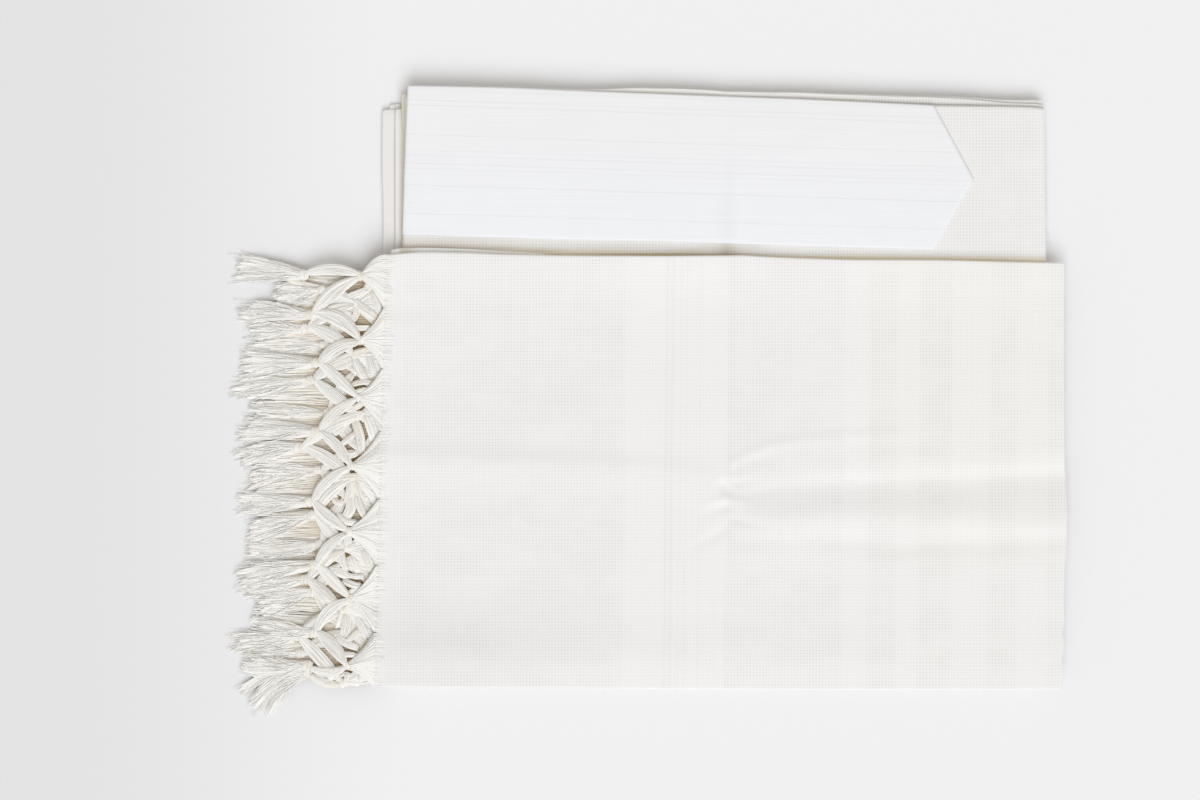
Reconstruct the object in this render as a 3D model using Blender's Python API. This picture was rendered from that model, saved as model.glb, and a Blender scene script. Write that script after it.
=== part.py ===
"""A white prayer shawl, folded flat: a back packet with its neck band, a front packet laid over the lower
part of it, and the knotted fringe of the cloth's ends.

Lengths are in metres. +Z is up, +Y is towards the shawl's neck edge and the fringe points to -X. The origin
is on the surface that the shawl lies on, under its middle.
"""

import math
import random

import bmesh
import bpy
from mathutils import Vector

MM = 0.001
SIDES = ("left", "right", "top", "bottom")

# Cloth, and how its folded layers stack
CLOTH_WALL = 1.2 * MM
BAND_WALL = 1.0 * MM
GAP = 0.3 * MM  # between pieces that touch
BACK_LAYER = 1.9 * MM  # one hidden layer, with the air in it
BACK_LAYERS = 4
FRONT_LAYER = 1.8 * MM
FRONT_LAYERS = 3
BACK_TOP = BACK_LAYERS * BACK_LAYER + GAP + CLOTH_WALL
FRONT_FLOOR = BACK_TOP + GAP
FRONT_TOP = FRONT_FLOOR + FRONT_LAYERS * FRONT_LAYER + GAP + CLOTH_WALL
GROOVE = 1.1 * MM  # how far the gap between two folded layers reaches in
ROUND = 0.7  # part of a layer's thickness at which its rounded edge turns under
SHELF = 0.06  # part of a layer's thickness by which its upper face falls towards its edge
CORNER_CUT = 1.3 * MM  # how much the fold takes off a corner, along X and along Y

# A fold rolls over a quarter circle and then hangs, with its lip a little further out.
FOLD_RADIUS = 2.4 * MM
FOLD_ANGLES = (0, 45, 90)
FOLD_LIP = 0.15 * MM
LIP_ABOVE_LAYER = 0.25 * MM

# Sheet plans, in millimetres: where each corner lies, and which sides are folds
BACK_PLAN = {
    "top_left": (-169.8, 218.8),
    "top_right": (275.8, 208.3),
    "bottom_right": (278.3, -198.5),
    "bottom_left": (-182.4, -198.5),
    "folds": ("right", "bottom", "left"),
}
FRONT_PLAN = {
    "top_left": (-183.4, 101.2),
    "top_right": (290.9, 94.9),
    "bottom_right": (289.8, -203.4),
    "bottom_left": (-192.2, -202.0),
    "folds": ("top", "right", "bottom"),
}
# How far each lower layer reaches past its sheet on each side, in millimetres, from the upper one down
BACK_REACHES = (
    {"top": 1.2, "right": 0.4, "bottom": 0.6, "left": 4.0, "bow": 1.2},
    {"top": 0.3, "right": 1.6, "bottom": 1.2, "left": 10.5, "bow": 2.4},
    {"top": -9.0, "right": -0.9, "bottom": -0.8, "left": 15.5, "bow": 0.0},
)
FRONT_REACHES = (
    {"top": 2.6, "right": -1.2, "bottom": -0.8, "left": 0.6, "bow": -1.8},
    {"top": -1.8, "right": -2.0, "bottom": -1.7, "left": -1.4, "bow": 0.0},
)
# Grid lines across each sheet, as parts of its width and of its length; the outer ones keep a fold's end short.
BACK_COLUMNS = (0, 0.02, 0.15, 0.32, 0.5, 0.68, 0.85, 0.98, 1)
BACK_ROWS = (0, 0.02, 0.1, 0.2, 0.3, 0.5, 0.75, 0.98, 1)
FRONT_COLUMNS = 15
FRONT_ROWS = 15
END_LINE = 0.014  # the grid line beside each edge of the front sheet

# The front sheet's soft rolls, in millimetres: each swells or sinks beside a line from one end to the other.
FRONT_ROLLS = (
    {"name": "neck-side fold", "from": (-175, 94), "to": (285, 86), "half_width": 13, "height": 0.8},
    {"name": "fringe-side ridge", "from": (-190, -46), "to": (15, -48), "half_width": 12, "height": 1.2},
    {"name": "upper groove", "from": (70, -64), "to": (290, -55), "half_width": 8, "height": -1.1},
    {"name": "swell between grooves", "from": (75, -82), "to": (292, -80), "half_width": 14, "height": 1.4},
    {"name": "lower groove", "from": (70, -108), "to": (290, -103), "half_width": 8, "height": -1.0},
    {"name": "pinch", "from": (45, -66), "to": (66, -58), "half_width": 9, "height": -1.2},
    {"name": "swell beside the pinch", "from": (70, -40), "to": (130, -30), "half_width": 12, "height": 0.9},
    {"name": "hem-side roll", "from": (-192, -183), "to": (285, -184), "half_width": 16, "height": 1.3},
    {"name": "fringe-side dimple", "from": (-172, 60), "to": (-160, 62), "half_width": 11, "height": -0.7},
)
FRONT_SWELL = 1.3 * MM  # the whole sheet lies this much above its flat height, so that grooves stay clear

# Neck band: half of it shows, from the fold at the left to its pointed end
BAND_PLAN = {
    "top_left": (-169.8, 218.0),
    "top_right": (199.2, 205.5),
    "bottom_right": (199.2, 104.0),
    "bottom_left": (-172.7, 113.8),
}
BAND_POINT = 27.3 * MM  # how far the point stands out past its shoulders
BAND_COLUMNS = (0, 0.02, 0.2, 0.4, 0.6, 0.8, 1)
BAND_ROWS = (0, 0.25, 0.5, 0.75, 1)

# Knotted fringe: fans from the cloth's edge to a first row of knots, two arms from each to the second row,
# and a tassel from each knot of the second row.
STRIP_WIDTH = 1.5 * MM
STRIP_THICKNESS = 1.2 * MM
STRIP_TOP = 99.5 * MM  # where it begins and ends, along Y
STRIP_BOTTOM = -200.5 * MM
STRIP_STATIONS = 14
CORNER_REACH = {3: 0.58, 4: 0.7, 6: 0.5}  # from a strand's middle to its corners, as part of its width
FAN_STRANDS = 4
FAN_WIDTHS = (6.4 * MM, 1.3 * MM)  # at the cloth and at the knot
FAN_THICKNESSES = (1.0 * MM, 1.8 * MM)
ARM_WIDTHS = (2.6 * MM, 4.4 * MM, 2.6 * MM)  # at its ends and halfway
ARM_THICKNESS = 2.2 * MM
ARM_BOW = 2.0 * MM
LAY = 0.15 * MM  # by which every other strand lies higher
STAND_APART = 1.15  # strands that enter a knot side by side lie this many widths apart
KNOT_SIZE = Vector((6.4, 6.6, 3.8)) * MM
KNOT_TAPER = (0.85, 1, 0.85)  # at its two ends and its middle, as part of its size
TASSEL_STRANDS = 6
TASSEL_SPREAD = 3.3 * MM  # between the tips of neighbouring strands
TASSEL_END = -288.5 * MM  # where the tips lie, along X
TASSEL_WIDTHS = (0.8 * MM, 1.9 * MM, 0.9 * MM)  # at the knot, halfway and at the tip
TASSEL_THICKNESSES = (1.5 * MM, 1.8 * MM, 0.8 * MM)
# Knots of the top net, in millimetres. The lean is how far a tassel's tips lie to the side of its knot.
FIRST_ROW = (
    {"x": -205.8, "y": 84.4},
    {"x": -200.2, "y": 41.7},
    {"x": -202.0, "y": -0.7},
    {"x": -208.3, "y": -46.6},
    {"x": -212.5, "y": -92.1},
    {"x": -210.6, "y": -139.0},
    {"x": -212.5, "y": -182.0},
)
SECOND_ROW = (
    {"x": -242.6, "y": 87.2, "lean": 5.0},
    {"x": -236.3, "y": 63.4, "lean": -4.0},
    {"x": -234.2, "y": 24.2, "lean": -3.0},
    {"x": -233.5, "y": -22.4, "lean": 2.0},
    {"x": -237.0, "y": -72.5, "lean": -2.0},
    {"x": -234.9, "y": -115.2, "lean": 3.0},
    {"x": -243.1, "y": -164.0, "lean": -2.0},
    {"x": -244.0, "y": -192.0, "lean": -8.0},
)
# The three nets lie on each other, each shifted and one layer lower. Heights are at HEIGHT_PLACES past the
# cloth's edge, in millimetres, and follow says how far a net's root rises with the rolls of the sheet.
HEIGHT_PLACES = (0 * MM, 9 * MM, 21 * MM, 59 * MM, 101 * MM)
NETS = (
    {
        "name": "fringe_first",
        "fans": 7,
        "shift": (0, 0),
        "heights": (15.7, 14.1, 10.9, 8.6, 4.9),
        "follow": 1.0,
    },
    {
        "name": "fringe_second",
        "fans": 7,
        "shift": (-3, -12),
        "heights": (12.95, 10.6, 7.4, 5.25, 3.0),
        "follow": 0.4,
    },
    {
        "name": "fringe_third",
        "fans": 6,
        "shift": (-5, -23),
        "heights": (10.3, 7.2, 3.9, 1.95, 1.1),
        "follow": 0.0,
    },
)

IVORY = (0.86, 0.85, 0.81)
WHITE = (0.88, 0.88, 0.87)
STRAND_IVORY = (0.80, 0.79, 0.74)


def clear_scene():
    for item in list(bpy.data.objects):
        bpy.data.objects.remove(item, do_unlink=True)


def cloth_material(name, colour):
    """A matt cloth of one colour."""
    material = bpy.data.materials.new(name)
    material.use_nodes = True
    shader = material.node_tree.nodes["Principled BSDF"]
    shader.inputs["Base Color"].default_value = (*colour, 1.0)
    shader.inputs["Roughness"].default_value = 0.9
    shader.inputs["Metallic"].default_value = 0.0
    return material


def finished(name, bm, colour):
    """The named object of a mesh, facing out and smooth on its rolls."""
    bmesh.ops.recalc_face_normals(bm, faces=bm.faces)
    mesh = bpy.data.meshes.new(name)
    bm.to_mesh(mesh)
    bm.free()
    mesh.shade_smooth()
    mesh.set_sharp_from_angle(angle=math.radians(40))
    item = bpy.data.objects.new(name, mesh)
    bpy.context.scene.collection.objects.link(item)
    mesh.materials.append(cloth_material(name + "_cloth", colour))
    return item


# Sheets


def sides_of(u, v):
    """The sides of a plan that the place (u, v) lies on: u runs left to right, v top to bottom."""
    places = {"left": u == 0, "right": u == 1, "top": v == 0, "bottom": v == 1}
    return {side for side, here in places.items() if here}


def plan_point(plan, reach, u, v, bow=0.0):
    """The place (u, v) on a plan whose four sides are moved out by reach."""
    left, right, top, bottom = (reach[side] for side in SIDES)
    top_left = Vector(plan["top_left"]) * MM + Vector((-left, top))
    top_right = Vector(plan["top_right"]) * MM + Vector((right, top))
    bottom_right = Vector(plan["bottom_right"]) * MM + Vector((right, -bottom))
    bottom_left = Vector(plan["bottom_left"]) * MM + Vector((-left, -bottom))
    point = top_left.lerp(top_right, u).lerp(bottom_left.lerp(bottom_right, u), v)
    point.y += bow * math.sin(math.pi * u) * (1 - v)
    if len(sides_of(u, v)) == 2:
        point.x += CORNER_CUT * (1 if u == 0 else -1)
        point.y += CORNER_CUT * (1 if v == 1 else -1)
    return point


def flat_relief(x, y):
    return 0.0


def front_relief(x, y):
    """How far the front sheet lies above its flat height at a place."""
    height = FRONT_SWELL
    place = Vector((x, y))
    for roll in FRONT_ROLLS:
        start = Vector(roll["from"]) * MM
        along = Vector(roll["to"]) * MM - start
        part = max(0.0, min(1.0, (place - start).dot(along) / along.length_squared))
        distance = (place - start - along * part).length
        height += roll["height"] * MM * math.exp(-((distance / (roll["half_width"] * MM)) ** 2))
    return height


def fold_steps(drop):
    """The profile of a fold: inset and depth of its outer face, and the direction that it faces."""
    steps = []
    for angle in FOLD_ANGLES:
        turn = math.radians(angle)
        steps.append(
            {
                "inset": FOLD_RADIUS * (1 - math.sin(turn)),
                "depth": FOLD_RADIUS * (1 - math.cos(turn)),
                "out": math.sin(turn),
                "up": math.cos(turn),
            }
        )
    steps.append({"inset": -FOLD_LIP, "depth": drop, "out": 1.0, "up": 0.0})
    return steps


def make_sheet(plan, top, layer, columns, rows, relief):
    """A folded sheet, whose folds come down over the uppermost of the layers under it."""
    drop = CLOTH_WALL + GAP + layer - LIP_ABOVE_LAYER
    return {"plan": plan, "top": top, "drop": drop, "columns": columns, "rows": rows, "relief": relief}


def sheet_point(sheet, step, under, u, v):
    """A point of a sheet's upper face, or of a face that lies the distance under inside it."""
    folds = sheet["plan"]["folds"]
    reach = {side: -step["inset"] - (under * step["out"] if side in folds else 0.0) for side in SIDES}
    point = plan_point(sheet["plan"], reach, u, v)
    rolled = bool(sides_of(u, v) & set(folds))
    depth = step["depth"] if rolled else 0.0
    up = step["up"] if rolled else 1.0
    relief = sheet["relief"](point.x, point.y) * (1 - depth / sheet["drop"])
    return Vector((point.x, point.y, sheet["top"] + relief - depth - under * up))


def rim_places(sheet):
    """The grid places around a sheet, in order."""
    last_column = len(sheet["columns"]) - 1
    last_row = len(sheet["rows"]) - 1
    places = [(i, 0) for i in range(last_column)]
    places += [(last_column, j) for j in range(last_row)]
    places += [(i, last_row) for i in range(last_column, 0, -1)]
    places += [(0, j) for j in range(last_row, 0, -1)]
    return places


def join_rings(bm, ring, other):
    for k in range(len(ring)):
        following = (k + 1) % len(ring)
        bm.faces.new((ring[k], ring[following], other[following], other[k]))


def bridged(bm, ring, points):
    """A new ring of vertices, with faces between it and the last one."""
    new = [bm.verts.new(point) for point in points]
    join_rings(bm, ring, new)
    return new


def add_grid(bm, lines):
    """The faces of a grid of points. It returns the grid's vertices."""
    grid = [[bm.verts.new(point) for point in line] for line in lines]
    for near, far in zip(grid, grid[1:]):
        for j in range(len(near) - 1):
            bm.faces.new((near[j], far[j], far[j + 1], near[j + 1]))
    return grid


def add_face(bm, sheet, under):
    """A sheet's face with the rings of its folds. It returns the outermost ring."""
    steps = fold_steps(sheet["drop"])
    lines = [[sheet_point(sheet, steps[0], under, u, v) for v in sheet["rows"]] for u in sheet["columns"]]
    grid = add_grid(bm, lines)
    places = rim_places(sheet)
    ring = [grid[i][j] for i, j in places]
    for step in steps[1:]:
        ring = bridged(
            bm,
            ring,
            [sheet_point(sheet, step, under, sheet["columns"][i], sheet["rows"][j]) for i, j in places],
        )
    return ring


def sheet_wall(name, sheet, colour):
    """A sheet as a closed wall: its upper face, its lower face and the rim that joins them."""
    bm = bmesh.new()
    upper = add_face(bm, sheet, 0.0)
    lower = add_face(bm, sheet, CLOTH_WALL)
    join_rings(bm, upper, lower)
    return finished(name, bm, colour)


def layer_ring(sheet, reach, bow, height):
    """The points around one height of a layer."""
    ring = []
    for i, j in rim_places(sheet):
        point = plan_point(sheet["plan"], reach, sheet["columns"][i], sheet["rows"][j], bow)
        ring.append((point.x, point.y, height))
    return ring


def layers_block(name, sheet, reaches, layer, floor, colour):
    """The hidden layers under a sheet as one solid, with the fold of each layer rounded at the edges."""
    bm = bmesh.new()
    ring = add_face(bm, sheet, CLOTH_WALL + GAP)
    above = dict.fromkeys(SIDES, -(CLOTH_WALL + GAP))
    bow_above = 0.0
    high = floor + layer * len(reaches)
    for row in reaches:
        outer = {side: row[side] * MM for side in SIDES}
        inner = {side: outer[side] - GROOVE for side in SIDES}
        crease = {side: min(above[side], outer[side]) - GROOVE for side in SIDES}
        bow = row["bow"] * MM
        ring = bridged(bm, ring, layer_ring(sheet, crease, min(bow_above, bow), high))
        ring = bridged(bm, ring, layer_ring(sheet, inner, bow, high - SHELF * layer))
        ring = bridged(bm, ring, layer_ring(sheet, outer, bow, high - (1 - ROUND) * layer))
        ring = bridged(bm, ring, layer_ring(sheet, outer, bow, high - ROUND * layer))
        above = outer
        bow_above = bow
        high -= layer
    foot = {side: above[side] - GROOVE for side in SIDES}
    bm.faces.new(bridged(bm, ring, layer_ring(sheet, foot, bow_above, floor)))
    return finished(name, bm, colour)


def even_lines(count):
    """Grid lines spread evenly, with one more close to each end."""
    return (0, END_LINE, *[k / count for k in range(1, count)], 1 - END_LINE, 1)


# Neck band


def band_point(sheet, step, under, u, v):
    """A point of the band: on the fold at its left where u is 0, and flat elsewhere."""
    reach = dict.fromkeys(SIDES, 0.0)
    reach["left"] = -step["inset"] - under * step["out"]
    plan = sheet["plan"]
    left = Vector(plan["top_left"]).lerp(Vector(plan["bottom_left"]), v) * MM - Vector((reach["left"], 0))
    right = Vector(plan["top_right"]).lerp(Vector(plan["bottom_right"]), v) * MM
    right.x += BAND_POINT * (1 - abs(2 * v - 1)) * (1 if u == 1 else 0)
    point = left.lerp(right, u)
    return Vector((point.x, point.y, sheet["top"] - step["depth"] - under * step["up"]))


def neck_band(sheet):
    """The band as a closed wall, made from the back sheet's fold and face, moved out."""
    bm = bmesh.new()
    steps = fold_steps(sheet["drop"])
    grids = []
    for under in (-(GAP + BAND_WALL), -GAP):
        lines = [[band_point(sheet, step, under, 0, v) for v in BAND_ROWS] for step in reversed(steps)]
        lines += [[band_point(sheet, steps[0], under, u, v) for v in BAND_ROWS] for u in BAND_COLUMNS[1:]]
        grids.append(add_grid(bm, lines))
    rims = []
    for grid in grids:
        last = len(grid) - 1
        rim = [line[0] for line in grid[:last]]
        rim += grid[last][:-1]
        rim += [line[-1] for line in reversed(grid[1:])]
        rim += list(reversed(grid[0][1:]))
        rims.append(rim)
    join_rings(bm, *rims)
    return finished("atarah", bm, WHITE)


# Fringe


def edge_x(y):
    """The front sheet's fringed edge at one place along it."""
    top = Vector(FRONT_PLAN["top_left"]) * MM
    bottom = Vector(FRONT_PLAN["bottom_left"]) * MM
    return top.x + (bottom.x - top.x) * (top.y - y) / (top.y - bottom.y)


def net_height(net, x, y):
    """The height of the middle of a net, from how far the place is past the cloth's edge."""
    distance = edge_x(y) - x
    near_edge = max(0.0, 1 - distance / HEIGHT_PLACES[2])
    lift = net["follow"] * front_relief(edge_x(y), y) * near_edge
    for (near, high), (far, low) in zip(
        zip(HEIGHT_PLACES, net["heights"]), zip(HEIGHT_PLACES[1:], net["heights"][1:])
    ):
        if distance <= far:
            part = (distance - near) / (far - near)
            return (high + (low - high) * part) * MM + lift
    return net["heights"][-1] * MM


def add_strand(bm, points, widths, thicknesses, sides, root_across=None):
    """A closed tube of 3, 4 or 6 sides along the points."""
    rings = []
    for k, point in enumerate(points):
        along = (points[min(k + 1, len(points) - 1)] - points[max(k - 1, 0)]).normalized()
        across = along.cross(Vector((0, 0, 1))).normalized()
        if k == 0 and root_across:
            across = root_across
        up = across.cross(along)
        ring = []
        for corner in range(sides):
            turn = 2 * math.pi * (corner + 0.5) / sides - math.pi / 2
            reach = across * math.cos(turn) * widths[k] + up * math.sin(turn) * thicknesses[k]
            ring.append(bm.verts.new(point + reach * CORNER_REACH[sides]))
        rings.append(ring)
    for near, far in zip(rings, rings[1:]):
        join_rings(bm, near, far)
    bm.faces.new(rings[0])
    bm.faces.new(rings[-1])


def add_knot(bm, place):
    """A short barrel, whose two flat ends take the strands."""
    half = Vector((KNOT_SIZE.x / 2, 0, 0))
    widths = [KNOT_SIZE.y * part for part in KNOT_TAPER]
    thicknesses = [KNOT_SIZE.z * part for part in KNOT_TAPER]
    add_strand(bm, (place + half, place, place - half), widths, thicknesses, 6)


def add_strip(bm, net):
    """The narrow backing beside the cloth's edge that the fans are rooted in."""
    rings = []
    for station in range(STRIP_STATIONS + 1):
        y = STRIP_TOP + (STRIP_BOTTOM - STRIP_TOP) * station / STRIP_STATIONS
        inner = edge_x(y) - FOLD_LIP - GAP
        height = net_height(net, edge_x(y), y)
        ring = []
        for across, up in ((0, -0.5), (0, 0.5), (-1, 0.5), (-1, -0.5)):
            corner = (inner + across * STRIP_WIDTH, y, height + up * STRIP_THICKNESS)
            ring.append(bm.verts.new(corner))
        rings.append(ring)
    for near, far in zip(rings, rings[1:]):
        join_rings(bm, near, far)
    bm.faces.new(rings[0])
    bm.faces.new(rings[-1])


def net_place(net, knot):
    """A knot's place in this net."""
    x = (knot["x"] + net["shift"][0]) * MM
    y = (knot["y"] + net["shift"][1]) * MM
    return Vector((x, y, net_height(net, x, y)))


def add_fan(bm, net, number, knot):
    """The strands that run together from the cloth's edge into a knot of the first row."""
    pitch = (STRIP_TOP - STRIP_BOTTOM) / len(FIRST_ROW)
    for strand in range(FAN_STRANDS):
        y = STRIP_TOP - pitch * (number + (strand + 0.5) / FAN_STRANDS)
        root = Vector((edge_x(y) - GAP - STRIP_WIDTH / 2, y, net_height(net, edge_x(y), y)))
        aside = ((FAN_STRANDS - 1) / 2 - strand) * FAN_WIDTHS[1] * STAND_APART
        end = knot + Vector((KNOT_SIZE.x / 5, aside, LAY * (strand % 2)))
        add_strand(bm, (root, end), FAN_WIDTHS, FAN_THICKNESSES, 4, Vector((0, 1, 0)))


def add_arm(bm, net, knot, head, side):
    """A bundle from a knot of the first row to one of the second, bowed a little to its side."""
    start = knot - Vector((KNOT_SIZE.x / 4, -side * KNOT_SIZE.y / 6, -side * LAY))
    end = head + Vector((KNOT_SIZE.x / 4, side * KNOT_SIZE.y / 8, side * LAY))
    middle = start.lerp(end, 0.5) + Vector((0, side * ARM_BOW, 0))
    middle.z = net_height(net, middle.x, middle.y)
    add_strand(bm, (start, middle, end), ARM_WIDTHS, (ARM_THICKNESS,) * 3, 4)


def add_tassel(bm, net, head, lean, chance):
    """The loose strands that hang from a knot of the second row."""
    end = TASSEL_END + chance.uniform(-3, 2) * MM
    for strand in range(TASSEL_STRANDS):
        place = strand - (TASSEL_STRANDS - 1) / 2
        wander = chance.uniform(-0.7, 0.7) * MM
        root = head + Vector((-KNOT_SIZE.x / 8, place * TASSEL_WIDTHS[0] * STAND_APART, 0))
        rise = LAY * (strand % 2)
        tip = Vector((end + chance.uniform(-4, 4) * MM, head.y + lean * MM + place * TASSEL_SPREAD, 0))
        points = []
        for part in (0, 0.45, 1):
            point = root.lerp(tip, part)
            point.y += wander * math.sin(math.pi * part)
            point.z = net_height(net, point.x, point.y) + rise * (1 - part)
            points.append(point)
        add_strand(bm, points, TASSEL_WIDTHS, TASSEL_THICKNESSES, 3)


def fringe_net(net, chance):
    """One net of the fringe, joined into a single body with its strip."""
    strip = bmesh.new()
    add_strip(strip, net)
    base = finished(net["name"], strip, STRAND_IVORY)
    bm = bmesh.new()
    knots = [net_place(net, row) for row in FIRST_ROW[: net["fans"]]]
    heads = [net_place(net, row) for row in SECOND_ROW[: net["fans"] + 1]]
    for number, knot in enumerate(knots):
        add_knot(bm, knot)
        add_fan(bm, net, number, knot)
        add_arm(bm, net, knot, heads[number], 1)
        add_arm(bm, net, knot, heads[number + 1], -1)
    for row, head in zip(SECOND_ROW, heads):
        add_knot(bm, head)
        add_tassel(bm, net, head, row["lean"], chance)
    strands = finished(net["name"] + "_strands", bm, STRAND_IVORY)
    strands.hide_render = True
    strands.display_type = "WIRE"
    join = base.modifiers.new("join", "BOOLEAN")
    join.operation = "UNION"
    join.solver = "EXACT"
    join.use_self = True
    join.object = strands
    return base


def build():
    clear_scene()
    back = make_sheet(BACK_PLAN, BACK_TOP, BACK_LAYER, BACK_COLUMNS, BACK_ROWS, flat_relief)
    front = make_sheet(
        FRONT_PLAN,
        FRONT_TOP,
        FRONT_LAYER,
        even_lines(FRONT_COLUMNS),
        even_lines(FRONT_ROWS),
        front_relief,
    )
    band = make_sheet(BAND_PLAN, BACK_TOP, BACK_LAYER, BAND_COLUMNS, BAND_ROWS, flat_relief)
    layers_block("back_layers", back, BACK_REACHES, BACK_LAYER, 0.0, IVORY)
    sheet_wall("back_panel", back, IVORY)
    neck_band(band)
    layers_block("front_layers", front, FRONT_REACHES, FRONT_LAYER, FRONT_FLOOR, IVORY)
    sheet_wall("front_panel", front, IVORY)
    chance = random.Random(18)
    for net in NETS:
        fringe_net(net, chance)


build()
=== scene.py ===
import math
import random

import bpy
import numpy as np
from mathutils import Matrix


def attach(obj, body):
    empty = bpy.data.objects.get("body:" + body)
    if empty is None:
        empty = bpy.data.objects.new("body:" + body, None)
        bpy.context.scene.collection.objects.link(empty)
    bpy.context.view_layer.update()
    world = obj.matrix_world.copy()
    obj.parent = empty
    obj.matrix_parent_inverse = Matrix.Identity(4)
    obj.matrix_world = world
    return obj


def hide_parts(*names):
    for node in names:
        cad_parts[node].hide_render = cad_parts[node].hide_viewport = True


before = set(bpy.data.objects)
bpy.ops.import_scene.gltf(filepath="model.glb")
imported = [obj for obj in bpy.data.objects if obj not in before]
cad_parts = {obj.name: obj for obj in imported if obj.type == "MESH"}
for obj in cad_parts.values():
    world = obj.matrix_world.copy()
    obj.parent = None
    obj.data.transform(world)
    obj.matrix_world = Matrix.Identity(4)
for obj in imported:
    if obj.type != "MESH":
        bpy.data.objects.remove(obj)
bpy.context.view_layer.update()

mm = 0.001

# camera, light and table

studio = {
    "middle": (-34.65, -1.05),     # what the camera looks down on, mm
    "cameraHeight": 4.678,
    "lens": 200,
    "sensor": 36.0,
    "keyHeight": 51,               # degrees above the table
    "keyTurn": 12,                 # degrees from straight below towards the right
    "keySpread": 50,               # degrees across the softbox, seen from the table
    "keyPower": 1.58,
    "keyColour": (0.97, 1.01, 1.09),
    "skyColour": (1.0, 0.965, 0.905),
    "skyPower": 0.586,
    "tableColour": (0.917, 0.919, 0.932),
    "tableGrain": (160, 0.985),    # waves a metre, and how dull the grain is against the board
    "paintedShadeLeft": 0.88,            # painted shade: how the board darkens past the fringe, standing in for the light falling off
    "paintedShadeFrom": (-0.42, -0.15),  # and between which places, m
    "tableSize": 30.0,
    "tableTop": -0.0002,           # a hair under the cloth
}
sharedFinish = {"Sheen Roughness": 0.6, "Specular IOR Level": 0.25}


def newMaterial(name, roughness, sheen=0.0):
    material = bpy.data.materials.new(name)
    material.use_nodes = True
    shader = material.node_tree.nodes["Principled BSDF"]
    for key, value in {"Roughness": roughness, "Sheen Weight": sheen, **sharedFinish}.items():
        shader.inputs[key].default_value = value
    return material, material.node_tree, shader


def node(tree, kind, values=None, **settings):
    # a node with its settings, and with a number or another node's socket in each named input
    made = tree.nodes.new("ShaderNode" + kind)
    for key, value in settings.items():
        setattr(made, key, value)
    for key, value in (values or {}).items():
        if isinstance(value, bpy.types.NodeSocket):
            tree.links.new(value, made.inputs[key])
        else:
            made.inputs[key].default_value = value
    return made


def calc(tree, operation, a, b=0.0, c=0.0):
    return node(tree, "Math", {0: a, 1: b, 2: c}, operation=operation).outputs[0]


def times(tree, a, b):
    return calc(tree, "MULTIPLY", a, b)


def timesPlus(tree, a, b, c):
    return calc(tree, "MULTIPLY_ADD", a, b, c)


def changedBy(tree, value, part, amount):
    # a value changed by this share of it where part is 1, and left alone where part is 0
    return times(tree, value, timesPlus(tree, part, amount, 1.0))


def mottled(tree, tone, noise, depth):
    # the tone a little darker and lighter with the noise
    return times(tree, tone, timesPlus(tree, noise, depth, 1 - depth / 2))


def ranged(tree, value, start, end, atStart=0.0, atEnd=1.0, **settings):
    # runs from atStart to atEnd as the value goes from start to end
    inputs = {0: value, 1: start, 2: end, 3: atStart, 4: atEnd}
    return node(tree, "MapRange", inputs, **settings).outputs[0]


def mixed(tree, part, a, b):
    # from colour a to colour b as part goes from 0 to 1
    inputs = {0: part}
    for key, colour in ((6, a), (7, b)):
        inputs[key] = colour if isinstance(colour, bpy.types.NodeSocket) else (*colour, 1)
    return node(tree, "Mix", inputs, data_type="RGBA").outputs[2]


def placeOn(tree):
    # the place on the cloth, in metres: x, y, z
    coords = node(tree, "TexCoord").outputs["Object"]
    return coords, node(tree, "SeparateXYZ", {0: coords}).outputs


def noiseOn(tree, coords, stretch, detail=2.0):
    # soft noise from 0 to 1, so many waves a metre along each axis
    spread = node(tree, "Mapping", {"Vector": coords, "Scale": stretch}).outputs[0]
    return node(tree, "TexNoise", {"Vector": spread, "Scale": 1.0, "Detail": detail}).outputs["Fac"]


def colourIt(tree, shader, base, tone):
    shade = node(tree, "VectorMath", {0: base, "Scale": tone}, operation="SCALE").outputs[0]
    tree.links.new(shade, shader.inputs["Base Color"])


def bumpIt(tree, shader, height, strength, depth):
    bump = node(tree, "Bump", {"Height": height, "Strength": strength, "Distance": depth * mm})
    tree.links.new(bump.outputs[0], shader.inputs["Normal"])


def link(name, data, **settings):
    # a new object in the scene
    made = bpy.data.objects.new(name, data)
    for key, value in settings.items():
        setattr(made, key, value)
    bpy.context.scene.collection.objects.link(made)
    return made


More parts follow.
